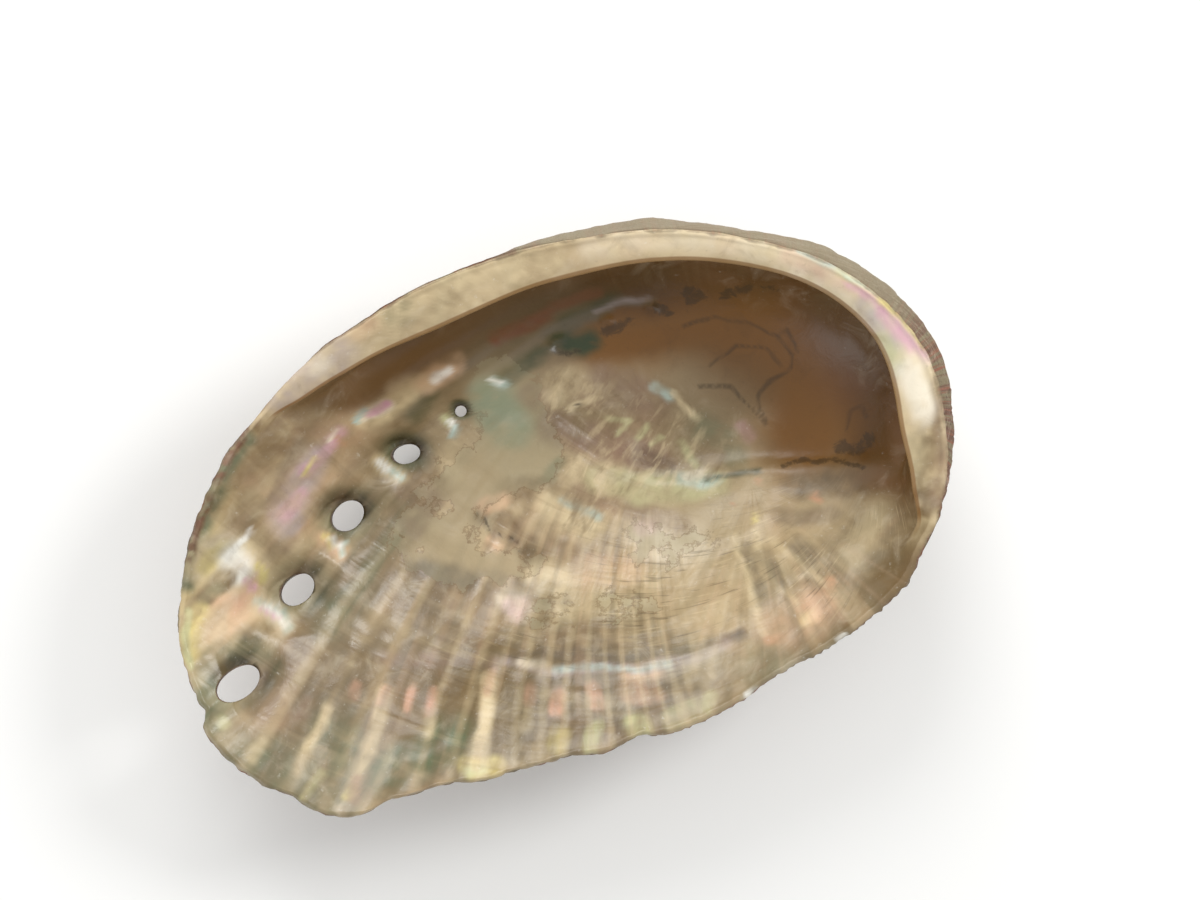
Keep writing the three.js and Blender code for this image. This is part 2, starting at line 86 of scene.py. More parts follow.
# The margin seen from above the bowl, round from the notch below the last hole: along the outer lip,
# the right end, the shelf's outer edge and the left side.
MARGIN = np.array([
    (-71.0, -47.3), (-71.4, -50.1), (-70.3, -52.4), (-66.3, -56.4), (-61.1, -60.0), (-54.2, -63.2),
    (-50.6, -65.4), (-46.1, -66.1), (-41.9, -65.4), (-37.9, -62.9), (-34.0, -62.2), (-29.8, -60.7),
    (-25.8, -59.8), (-21.1, -59.8), (-16.6, -58.2), (-10.8, -56.9), (-4.7, -55.1), (0.9, -54.8),
    (4.3, -53.1), (7.6, -51.7), (11.6, -51.7), (16.6, -50.1), (22.4, -47.5), (26.7, -45.0),
    (29.8, -42.3), (34.3, -39.6), (39.8, -37.0), (44.3, -34.0), (49.2, -30.5), (52.9, -27.1),
    (55.7, -24.4), (57.3, -20.8), (58.9, -17.2), (61.1, -13.4), (62.2, -9.0), (63.1, -4.2),
    (63.1, 0.9), (62.5, 6.3), (61.6, 11.2), (59.8, 16.6), (56.4, 22.0), (51.7, 27.1),
    (46.1, 31.4), (40.1, 34.9), (33.4, 37.0), (26.2, 38.7), (19.0, 39.8), (11.2, 40.1),
    (3.6, 39.6), (-3.6, 38.5), (-10.8, 37.2), (-17.2, 35.4), (-23.1, 33.4), (-28.9, 31.1),
    (-34.0, 28.7), (-38.9, 25.8), (-44.3, 22.2), (-49.3, 19.0), (-52.8, 15.9), (-57.1, 11.6),
    (-61.1, 7.0), (-64.5, 2.9), (-67.8, -1.3), (-69.9, -5.6), (-71.7, -9.6), (-73.5, -14.5),
    (-74.8, -19.5), (-75.5, -24.9), (-76.1, -30.7), (-75.9, -34.3), (-75.2, -37.6), (-73.9, -41.9),
    (-72.5, -45.2),
])

# How the wall changes round the margin. By azimuth about the pole, in degrees: the margin's height, the
# width and the fall of the shelf, how far the shelf overhangs (0 to 1), the outside's angle at the
# margin, and how far the wall and the floor each pull the outside's curve.
WALL = np.array([
    (0, 0.0, 7.2, 3.6, 0.8, 116, 22, 24),
    (25, 0.0, 5.0, 3.0, 1.0, 116, 25, 22),
    (60, 0.0, 4.7, 2.4, 1.0, 108, 24, 18),
    (95, 0.0, 5.2, 2.6, 1.0, 113, 23, 18),
    (130, 0.0, 7.0, 3.2, 1.0, 104, 22, 22),
    (155, 0.6, 9.0, 3.4, 0.9, 80, 20, 30),
    (168, 1.0, 7.6, 2.8, 0.6, 62, 20, 36),
    (176, 1.0, 5.0, 1.8, 0.2, 57, 20, 40),
    (181, 0.8, 1.8, 0.6, 0.0, 54, 20, 43),
    (186, 0.5, 1.3, 0.4, 0.0, 53, 20, 45),
    (200, 0.2, 1.3, 0.4, 0.0, 50, 21, 48),
    (214, 0.8, 1.3, 0.4, 0.0, 40, 24, 50),
    (235, 1.0, 1.3, 0.4, 0.0, 32, 28, 46),
    (262, -0.5, 1.3, 0.4, 0.0, 40, 24, 32),
    (290, -1.5, 1.3, 0.4, 0.0, 48, 20, 24),
    (316, -1.0, 1.3, 0.4, 0.0, 54, 18, 24),
    (328, -0.6, 1.3, 0.4, 0.0, 62, 18, 25),
    (338, -0.4, 2.6, 1.0, 0.0, 80, 19, 25),
    (347, -0.2, 5.0, 2.2, 0.1, 98, 20, 25),
])

# Open holes, from the newest at the notch: centre x and y, length, width, direction of the long axis,
# and how far the tube stands out of the back
HOLES = (
    (-66.2, -42.8, 8.4, 5.6, 38, 1.2),
    (-57.0, -26.4, 7.1, 5.3, 40, 1.9),
    (-48.2, -12.6, 6.9, 5.2, 41, 2.1),
    (-37.3, -0.8, 5.6, 3.8, 12, 2.0),
    (-26.9, 7.5, 2.4, 2.2, 0, 1.5),
)
# Older holes that the shell has closed: centre x and y, and the pit's radius
CLOSED_HOLES = (
    (-17.7, 13.8, 2.1),
    (-8.0, 20.2, 1.9),
    (1.4, 24.4, 1.6),
    (9.8, 27.0, 1.3),
)
HOLE_SECTOR = (168, 222)          # azimuths between which the columns stand twice as close
HOLE_WALL = 3.0                   # how thick the wall is round a hole, from the tube's rim to the nacre
FULL_HOLE = 6                     # length of the smallest hole that has the whole swell
SWELL, SWELL_REACH = 1.7, 3.4     # how far the wall bends outwards at a hole, and how far round it
PLUG_LENGTH = 26                  # length of the plugs that cut the holes

# How far the larger forms stand out of the wall, or sink into it, in millimetres
OUTSIDE_HEIGHTS = {"shoulder": 1.0, "seam": 1.7, "whorl": 2.0, "spire": 1.6, "ledge": 0.8, "cord": 0.4,
                   "knob": 1.3}
INSIDE_HEIGHTS = {"channel": 0.9, "step": 0.35, "crest": 0.3, "fold": 0.22, "scar": 0.6, "crease": 1.0,
                  "bridge": 0.7, "pit": 1.1, "hole": 0.9}
# The small teeth of the margin: how far they stand out and how long they are, and the azimuths between which
# they grow to their whole height and fall back
TEETH = ((0.3, 2.4), (0.2, 0.9))
TEETH_GROW, TEETH_FALL = (172, 200), (340, 358)
# Bends of the margin shorter than about this share of it, and its teeth, fade down the wall, by this power of
# the way out from the pole
SHORT_BEND = 1 / 43
MARGIN_FADE = 16
# The muscle scar in the plan, its centre and its two radii, and the growth value of the step across the floor
SCAR_AT, SCAR_RADII = (-18, -8), (22, 17)
GROWTH_STEP = 5.3
# Straight ridges of the floor: the middle's x and y, the slope in the plan, half the length, and the width
CREASE = (38, -4.2, 0.05, 19, 2.4)
BRIDGE = (7, -7.06, -0.08, 15, 2.6)

# The view of the photograph, in the mouth frame: how far off the camera is, how many millimetres at the mouth
# one of the picture's 1200 x 900 pixels covers, and the picture's centre in its pixels
VIEW_DISTANCE = 420
PIXEL = 0.1807
PICTURE_CENTRE = (600, 450)

# Seeds of the unevenness: of the shape, of the paint's places and of the patterns' places
SHAPE_SEED, PAINT_SEED, PATTERN_SEED = 7, 11, 5


def smooth(value, start, stop):
    """An eased step from 0 at start to 1 at stop; start may be the higher of the two."""
    t = np.clip((value - start) / (stop - start), 0, 1)
    return t * t * (3 - 2 * t)


def bell(value, width):
    """1 at 0, falling off evenly on both sides."""
    return np.exp(-((value / width) ** 2))


class Unevenness:
    """Smooth seeded noise over the plan, between -1 and 1, for shapes that grew and aren't quite regular."""

    CELLS = 64
    OCTAVES_APART = (17, -11)

    def __init__(self, seed):
        self.lattice = np.random.default_rng(seed).uniform(-1, 1, (self.CELLS, self.CELLS))

    def single(self, x, y, size):
        u, v = x / size, y / size
        i, j = np.floor(u).astype(int), np.floor(v).astype(int)
        s, t = smooth(u - i, 0, 1), smooth(v - j, 0, 1)
        corner = lambda a, b: self.lattice[(i + a) % self.CELLS, (j + b) % self.CELLS]
        near = corner(0, 0) * (1 - s) + corner(1, 0) * s
        far = corner(0, 1) * (1 - s) + corner(1, 1) * s
        return near * (1 - t) + far * t

    def __call__(self, x, y, size, octaves=2):
        dx, dy = self.OCTAVES_APART
        total = sum(self.single(x + dx * k, y + dy * k, size / 2 ** k) / 2 ** k for k in range(octaves))
        return total / sum(0.5 ** k for k in range(octaves))


def spiral(x, y):
    """The spiral's own coordinates: cord is constant along a cord, growth along an old margin."""
    dx, dy = x - APEX[0], y - APEX[1]
    radius = np.hypot(dx, dy) + 1e-6
    turn = np.arctan2(dy, dx) % (2 * math.pi)
    pitch = WHORL + OPENING * radius
    cord = turn - np.log(radius / pitch) / WHORL
    growth = turn + WHORL * np.log(radius) + OPENING * radius
    return radius, pitch, cord, growth


SUTURE = spiral(*SUTURE_AT)[2]


def along_line(line):
    """How far along a line each of its points is."""
    return np.concatenate([[0], np.cumsum(np.linalg.norm(np.diff(line, axis=0), axis=1))])


def closed_curve(points, count):
    """A closed curve through the points, as count points evenly spaced along it."""
    steps = 24
    t = np.arange(len(points) * steps) / steps
    i, f = t.astype(int), (t % 1)[:, None]
    a, b, c, d = (points[(i + k) % len(points)] for k in (-1, 0, 1, 2))
    curve = 0.5 * (2 * b + (c - a) * f + (2 * a - 5 * b + 4 * c - d) * f ** 2
                   + (3 * b - a - 3 * c + d) * f ** 3)
    curve = np.vstack([curve, curve[:1]])
    along = along_line(curve)
    want = np.arange(count) / count * along[-1]
    return np.column_stack([np.interp(want, along, curve[:, k]) for k in (0, 1)])


def softened(ring, reach):
    """The ring averaged along itself, over about reach points each way."""
    steps = np.arange(-2 * reach, 2 * reach + 1)
    weights = np.exp(-0.5 * (steps / reach) ** 2)
    weights /= weights.sum()
    return sum(w * np.roll(ring, -k, axis=0) for k, w in zip(steps, weights))


def eased(t, start, leave, stop, arrive):
    """The way from start to stop as t goes from 0 to 1, with the slopes that it leaves and arrives with."""
    return ((2 * t ** 3 - 3 * t ** 2 + 1) * start + (t ** 3 - 2 * t ** 2 + t) * leave
            + (3 * t ** 2 - 2 * t ** 3) * stop + (t ** 3 - t ** 2) * arrive)


def wall_at(azimuth):
    """The WALL values at each azimuth, eased between its rows."""
    wrapped = np.vstack([WALL[-2:], WALL, WALL[:2]])
    wrapped[:2, 0] -= 360
    wrapped[-2:, 0] += 360
    place, value = wrapped[:, 0], wrapped[:, 1:]
    slope = (value[2:] - value[:-2]) / (place[2:] - place[:-2])[:, None]
    place, value = place[1:-1], value[1:-1]
    i = np.clip(np.searchsorted(place, azimuth, side="right") - 1, 0, len(place) - 2)
    span = (place[i + 1] - place[i])[:, None]
    t = (azimuth - place[i])[:, None] / span
    return eased(t, value[i], span * slope[i], value[i + 1], span * slope[i + 1])


CURVE_STEPS = 10                  # short stretches between two of the points that a smooth line goes through


def through(points):
    """A smooth line through the points, with CURVE_STEPS stretches between each two."""
    ends = np.vstack([2 * points[0] - points[1], points, 2 * points[-1] - points[-2]])
    f = np.linspace(0, 1, CURVE_STEPS, endpoint=False)[:, None]
    line = []
    for a, b, c, d in zip(ends, ends[1:], ends[2:], ends[3:]):
        before, here, after = (np.sqrt(np.linalg.norm(q - p)) + 1e-6 for p, q in ((a, b), (b, c), (c, d)))
        leave = ((b - a) / before - (c - a) / (before + here) + (c - b) / here) * here
        arrive = ((c - b) / here - (d - b) / (here + after) + (d - c) / after) * here
        line.append(eased(f, b, leave, c, arrive))
    return np.vstack(line + [points[-1:]])


def spaced(line, rows, turn_length=0.0):
    """Evenly spaced points of a line, where a turn of one radian counts as turn_length more."""
    step = np.diff(line, axis=0)
    length = np.linalg.norm(step, axis=1)
    way = step / np.maximum(length, 1e-9)[:, None]
    turn = np.concatenate([[0], np.arccos(np.clip((way[1:] * way[:-1]).sum(1), -1, 1))])
    along = np.concatenate([[0], np.cumsum(length + turn_length * turn)])
    want = np.linspace(0, along[-1], rows + 1)
    return np.column_stack([np.interp(want, along, line[:, k]) for k in (0, 1)])


# The rows down a column of the inside, by part from the margin to the pole, and the points of the column's
# line that the parts before the floor start and end at
INSIDE_ROWS = {"edge": 4, "shelf": 12, "nose": 8, "under": 10, "floor": 80}
LINE_PARTS = {"edge": (0, 3), "shelf": (3, 6), "nose": (6, 8), "under": (8, 10)}
NOSE_ROW = INSIDE_ROWS["edge"] + INSIDE_ROWS["shelf"] + 3    # the row at the shelf's inner edge
OUTSIDE_ROWS = 84
COLUMNS = 592
WALL_STEPS = 160                  # stretches that the wall's curve is worked out in, from margin to pole

# The points that the shelf's profile goes through: shares of its width and of its fall, and how many radii of
# its inner edge they lie beyond that
LEDGE = ((0.3, 0.2, 0, 0), (0.65, 0.52, 0, 0), (0.94, 0.9, 0, 0), (1, 1, -0.45, -0.55), (1, 1, 0.25, -1.65))
LEAST_SHELF, WHOLE_SHELF = 1.3, 5  # widths at which a shelf starts to show in the wall and is all there
PAST_SHELF = 1.5                  # how far inwards of its edge a shelf without an overhang meets the wall
BELOW_SHELF = 6                   # how far down the wall its upper part ends, beyond the fall of an overhang
EDGE_BULGE = 0.18                 # how round the margin's edge is, as a share of the lip's thickness
THICKENED_BY = 0.35               # share of the way to the pole by which the wall has the floor's thickness


def column(reach, wall, sizes):
    """One column's outside and inside, as points (distance from the pole, height)."""
    height, shelf, fall, overhang, angle, wall_pull, floor_pull = wall
    overhang, angle = np.clip(overhang, 0, 1), math.radians(angle)
    lip, depth = sizes["lip_thickness"], sizes["depth"]
    t = np.linspace(0, 1, WALL_STEPS + 1)[:, None]
    start, end = np.array([reach, height]), np.array([0.0, -depth])
    pull_start = start - wall_pull * np.array([math.cos(angle), math.sin(angle)])
    pull_end = np.array([floor_pull, -depth])
    outside = ((1 - t) ** 3 * start + 3 * (1 - t) ** 2 * t * pull_start
               + 3 * (1 - t) * t ** 2 * pull_end + t ** 3 * end)
    along = 3 * ((1 - t) ** 2 * (pull_start - start) + 2 * (1 - t) * t * (pull_end - pull_start)
                 + t ** 2 * (end - pull_end))
    along /= np.linalg.norm(along, axis=1)[:, None]
    thickness = lip + (sizes["floor_thickness"] - lip) * smooth(t, 0, THICKENED_BY)
    inner = outside + np.column_stack([along[:, 1], -along[:, 0]]) * thickness
    inner[-1, 0] = 0
    lengths = along_line(inner)
    inner_at = lambda length: np.array([np.interp(length, lengths, inner[:, k]) for k in (0, 1)])

    top = inner[0]
    width = max(shelf - lip, 0)
    shelved = smooth(shelf, LEAST_SHELF, WHOLE_SHELF)
    past = np.searchsorted(-inner[:, 0], -(top[0] - width - PAST_SHELF))
    meets = (1 - overhang) * lengths[min(past, WALL_STEPS)] + overhang * (fall + BELOW_SHELF)
    meets = (1 - shelved) * BELOW_SHELF + shelved * meets
    foot = inner_at(meets)
    edge = np.array([start * (1 - k) + top * k for k in (0, 0.25, 0.75, 1)])
    edge[1:3] -= along[0] * EDGE_BULGE * lip
    nose = sizes["nose"]
    ledge = np.array([(top[0] - across * width + dx * nose, top[1] - down * fall + dy * nose)
                      for across, down, dx, dy in LEDGE])
    hollow = (ledge[-1] + foot) / 2 + np.array([0.15, 0.35]) * 0.25 * width * overhang
    ledge = np.vstack([ledge, hollow])
    plain = np.array([inner_at(meets * k / 7) for k in range(1, 7)])
    line = through(np.vstack([edge, plain * (1 - shelved) + ledge * shelved, foot]))
    parts = [spaced(line[first * CURVE_STEPS:last * CURVE_STEPS + 1], INSIDE_ROWS[name])[1:]
             for name, (first, last) in LINE_PARTS.items()]
    floor = spaced(np.vstack([foot, inner[lengths > meets + 1e-6]]), INSIDE_ROWS["floor"], 2)[1:]
    return spaced(outside, OUTSIDE_ROWS, 4), np.vstack([line[:1], *parts, floor])


def hole_distance(x, y, hole):
    """How far each place is from the edge of an open hole, in the plan; negative inside it."""
    cx, cy, long, wide, turn = hole[:5]
    c, s = math.cos(math.radians(turn)), math.sin(math.radians(turn))
    u, v = (x - cx) * c + (y - cy) * s, (y - cy) * c - (x - cx) * s
    size = np.hypot(u / (long / 2), v / (wide / 2)) + 1e-9
    return np.hypot(u, v) * (1 - 1 / size)


def hole_swell(x, y):
    """How far the wall bends outwards at a place because of the holes near it."""
    swell = np.zeros_like(x)
    for hole in HOLES:
        away = np.maximum(hole_distance(x, y, hole), 0)
        swell = np.maximum(swell, min(1, hole[2] / FULL_HOLE) * SWELL * bell(away, SWELL_REACH))
    return swell


def outside_forms(x, y, uneven):
    """How far the outside stands out: whorls, the spire, the row's shoulder, tubes and knobs."""
    high = OUTSIDE_HEIGHTS
    radius, pitch, cord, growth = spiral(x, y)
    row = (cord - HOLE_ROW) * radius * pitch
    shoulder = high["shoulder"] * smooth(radius, 12, 40) * bell(row, 6)

    # the older whorls, the seam between them, and the spire
    whorl = (SUTURE - cord) / (2 * math.pi)
    across = whorl % 1
    size = np.minimum(radius, 24) / 24
    in_whorl = np.where(whorl < 0, 1, 1 - smooth(across, 0.15, 0.5))
    seam = -high["seam"] * bell(np.minimum(across, 1 - across), 0.07) * smooth(radius, 1, 6)
    seam *= 1 - smooth(whorl, 0.3, 0.7)
    bulge = high["whorl"] * size * np.sin(math.pi * np.minimum(across * 1.6, 1)) * in_whorl
    bulge *= 1 - smooth(radius, 20, 34)
    spire = high["spire"] * bell(radius, 8)

    # growth ledges and coarse cords, calmer behind the shelf and fading towards the spire and the pole
    way = np.degrees(np.arctan2(y - POLE[1], x - POLE[0]))
    calm = 1 - 0.75 * smooth(way, -20, 20) * smooth(way, 160, 125)
    rough = smooth(radius, 12, 52) * smooth(np.hypot(x - POLE[0], y - POLE[1]), 3, 16) * calm
    step = (growth * 2.4) % 1
    ledges = high["ledge"] * rough * (smooth(step, 0, 0.75) - smooth(step, 0.75, 1) - 0.4)
    cords = high["cord"] * rough * np.cos(CORDS_A_TURN * (cord - HOLE_ROW))

    tubes = np.zeros_like(x)
    for hole in HOLES:
        away = hole_distance(x, y, hole)
        tubes = np.maximum(tubes, hole[5] * smooth(away + 0.3 * uneven(x, y, 3), 2.9, 0.9))
    for cx, cy, pit in CLOSED_HOLES:
        knob = smooth(np.hypot(x - cx, y - cy), 2.0 * pit, 0.6 * pit)
        tubes = np.maximum(tubes, high["knob"] * knob)
    return shoulder + seam + bulge + spire + ledges + cords + hole_swell(x, y) + tubes


def ridge(x, y, middle_x, middle_y, slope, reach, width):
    """A straight ridge in the plan: 1 along its middle, falling off to its sides and ends."""
    return bell(y - middle_y - slope * (x - middle_x), width) * np.exp(-(((x - middle_x) / reach) ** 4))


def inside_forms(x, y, uneven):
    """How far the inside rises into the bowl: the muscle scar, the ridges, the pits and the growth step."""
    high = INSIDE_HEIGHTS
    radius, pitch, cord, growth = spiral(x, y)
    row = (cord - HOLE_ROW) * radius * pitch
    channel = -high["channel"] * smooth(radius, 28, 60) * bell(row, 4.5)
    newer = growth - GROWTH_STEP
    step = high["step"] * smooth(newer, 0.04, -0.06) + high["crest"] * bell(newer, 0.035)
    step *= smooth(radius, 38, 60)
    folds = high["fold"] * smooth(radius, 40, 90) * np.cos(CORDS_A_TURN * (cord - HOLE_ROW))
    scar_reach = np.hypot((x - SCAR_AT[0]) / SCAR_RADII[0], (y - SCAR_AT[1]) / SCAR_RADII[1])
    scar = high["scar"] * smooth(scar_reach + 0.16 * uneven(x, y, 9), 1, 0.7)
    crease = high["crease"] * ridge(x, y, *CREASE)
    bridge = high["bridge"] * ridge(x, y, *BRIDGE)
    pits = np.zeros_like(x)
    for cx, cy, pit in CLOSED_HOLES:
        pits = np.maximum(pits, high["pit"] * bell(np.hypot(x - cx, y - cy), 0.8 * pit))
    lips = np.zeros_like(x)
    for hole in HOLES:
        away = np.maximum(hole_distance(x, y, hole), 0)
        lips = np.maximum(lips, high["hole"] * np.exp(-away / 0.7))
    return channel + step + folds + scar + crease + bridge - pits - lips - hole_swell(x, y)


def relieved(net, height, side):
    """The net moved along its own normals by height: up with side 1, down with side -1."""
    along = np.roll(net, -1, axis=0) - np.roll(net, 1, axis=0)
    down = np.empty_like(net)
    down[:, 1:-1] = net[:, 2:] - net[:, :-2]
    down[:, 0], down[:, -1] = net[:, 1] - net[:, 0], net[:, -1] - net[:, -2]
    normal = np.cross(along, down)
    normal /= np.linalg.norm(normal, axis=2)[..., None] + 1e-12
    normal[:, -1] = (0, 0, 1)
    return net + normal * (side * height)[..., None]


# What each point of the nets carries beside its place: its side (1 outside), its way over the surface from
# the margin and from the shelf's inner edge, and the shelf's width there, in millimetres
FIELDS = ("side", "edge", "nose", "shelf")
FAR = 99.0                        # a way that stands for out of reach


def shell_nets(sizes):
    """The outside and inside nets, as arrays of columns by rows. A point has its place in the mouth frame and
    the values named in FIELDS."""
    uneven = Unevenness(SHAPE_SEED)
    fine_count = 12 * COLUMNS
    fine = closed_curve(MARGIN, fine_count)
    soft = softened(fine, round(fine_count * SHORT_BEND))
    offset = soft - POLE
    azimuth = np.degrees(np.arctan2(offset[:, 1], offset[:, 0])) % 360
    first, last = HOLE_SECTOR
    weight = 1 + smooth(azimuth, first, first + 8) * smooth(azimuth, last, last - 8)
    passed = np.concatenate([[0], np.cumsum(weight)[:-1]])
    pick = np.searchsorted(passed, np.arange(COLUMNS) / COLUMNS * weight.sum())
    toothed = 0.2 + 0.8 * smooth(azimuth, *TEETH_GROW) * smooth(azimuth, *TEETH_FALL[::-1])
    outside, inside = [], []
    for i, wall in zip(pick, wall_at(azimuth[pick])):
        reach = np.linalg.norm(offset[i])
        teeth = toothed[i] * sum(stand * uneven(*fine[i], size) for stand, size in TEETH)
        for side, net, profile in zip((1, 0), (outside, inside), column(reach, wall, sizes)):
            held = np.clip(profile[:, :1] / reach, 0, 1.05) ** MARGIN_FADE
            plan = POLE + offset[i] / reach * (profile[:, :1] + teeth * held) + (fine[i] - soft[i]) * held
            along = along_line(profile)
            nose = along - along[NOSE_ROW] if side == 0 else np.full(len(profile), FAR)
            fields = (np.full(len(profile), side), along, nose, np.full(len(profile), wall[1]))
            net.append(np.column_stack([plan, profile[:, 1], *fields]))
    outside, inside = np.array(outside), np.array(inside)

    # the forms start below the margin on the outside, and below the shelf on the inside
    rows = np.tile(np.arange(OUTSIDE_ROWS + 1), (COLUMNS, 1))
    forms = outside_forms(outside[..., 0], outside[..., 1], uneven) * smooth(rows, 0, OUTSIDE_ROWS / 7)
    outside[..., :3] = relieved(outside[..., :3], forms, -1)
    foot = sum(INSIDE_ROWS.values()) - INSIDE_ROWS["floor"]
    rows = np.tile(np.arange(inside.shape[1]), (COLUMNS, 1))
    forms = inside_forms(inside[..., 0], inside[..., 1], uneven) * smooth(rows, foot - 4, foot + 14)
    inside[..., :3] = relieved(inside[..., :3], forms, 1)
    return outside, inside


# How the columns thin out towards the pole: from which share of the rows on, and one in how many goes on
THINNING = ((1, COLUMNS), (0.8, 4), (0.55, 2), (0, 1))


def net_mesh(name, outside, inside):
    """One closed mesh of the two nets, with fewer columns towards the pole, and its points' values."""
    points, faces = [], []
    rings = {}

    def ring(net, side, row):
        key = (side if row else 0, row)
        if key not in rings:
            last = net.shape[1] - 1
            every = next(step for share, step in THINNING if row >= share * last)
            rings[key] = (sum(len(p) for p in points), COLUMNS // every)
            points.append(net[::every, row])
        return rings[key]

    for side, net in ((1, outside), (0, inside)):
        for row in range(net.shape[1] - 1):
            (a, many), (b, few) = ring(net, side, row), ring(net, side, row + 1)
            i = np.arange(many)
            here, beyond = a + i, a + (i + 1) % many
            under, under_beyond = b + i * few // many, b + ((i + 1) * few // many) % few
            corners = [(here, under, beyond)]
            if few > 1:
                turns = under != under_beyond
                corners.append((beyond[turns], under[turns], under_beyond[turns]))
            for one, two, three in corners:
                faces.append(np.column_stack([one, two, three] if side else [one, three, two]))
    points = np.vstack(points)
    mesh = bpy.data.meshes.new(name)
    mesh.from_pydata(points[:, :3].tolist(), [], np.vstack(faces).tolist())
    return mesh, points


def rest_turn():
    """The turn from the mouth frame to the row's frame."""
    axis = Vector((math.cos(REST_AXIS_ANGLE), math.sin(REST_AXIS_ANGLE), 0))
    return Matrix.Rotation(-LONG_AXIS_ANGLE, 4, "Z") @ Matrix.Rotation(REST_TILT, 4, axis)


def rest_matrix():
    """The matrix from the mouth frame in millimetres to the row's frame in metres."""
    return Matrix.Translation(MOUTH_AT) @ rest_turn() @ Matrix.Scale(MM, 4)


class Graph:
    """A node tree written as nested calls: an input that is a socket is linked, any other is set."""

    def __init__(self, tree):
        self.tree = tree
        self.column = 0

    def node(self, kind, inputs=(), **settings):
        made = self.tree.nodes.new(kind)
        made.location = (self.column * 180, -160 * (self.column % 5))
        self.column += 1
        for name, value in settings.items():
            setattr(made, name, value)
        for key, value in (inputs.items() if isinstance(inputs, dict) else enumerate(inputs)):
            if isinstance(value, bpy.types.NodeSocket):
                self.tree.links.new(value, made.inputs[key])
            elif value is not None:
                made.inputs[key].default_value = value
        return made

    def math(self, operation, *values):
        return self.node("ShaderNodeMath", values, operation=operation).outputs[0]

    def add(self, *values):
        total = values[0]
        for value in values[1:]:
            total = self.math("ADD", total, value)
        return total

    def times(self, *values):
        total = values[0]
        for value in values[1:]:
            total = self.math("MULTIPLY", total, value)
        return total

    def step(self, value, start, stop):
        """An eased step from 0 at start to 1 at stop."""
        low, high, to_low, to_high = (start, stop, 0.0, 1.0) if start < stop else (stop, start, 1.0, 0.0)
        inputs = {"Value": value, "From Min": low, "From Max": high, "To Min": to_low, "To Max": to_high}
        return self.node("ShaderNodeMapRange", inputs, interpolation_type="SMOOTHSTEP").outputs["Result"]

    def mix(self, amount, first, second):
        return self.node("ShaderNodeMix", {0: amount, 6: first, 7: second}, data_type="RGBA").outputs[2]

    def noise(self, place, scale, detail=2.0, roughness=0.5, distortion=0.0):
        inputs = {"Vector": place, "Scale": scale, "Detail": detail, "Roughness": roughness,
                  "Distortion": distortion}
        return self.node("ShaderNodeTexNoise", inputs).outputs[0]

    def swing(self, *pattern):
        """A noise from about -0.5 to 0.5."""
        return self.math("SUBTRACT", self.noise(*pattern), 0.5)


def store(mesh, name, values, kind="FLOAT"):
    """Keeps a value for each point of a mesh as a named attribute."""
    attribute = mesh.attributes.new(name, kind, "POINT")
    item = {"FLOAT": "value", "FLOAT_VECTOR": "vector", "FLOAT_COLOR": "color"}[kind]
    attribute.data.foreach_set(item, np.ravel(values).astype(np.float32))


def wound(angle, radius, spread):
    """A place for each angle and radius, so that a pattern meets itself after a turn. A radius as large as
    spread counts as one."""
    return np.column_stack([np.cos(angle), np.sin(angle), radius / spread])


# The radii, in millimetres, that count as one where the growth and the cord patterns are read
GROWTH_SPREAD, CORD_SPREAD = 400, 500


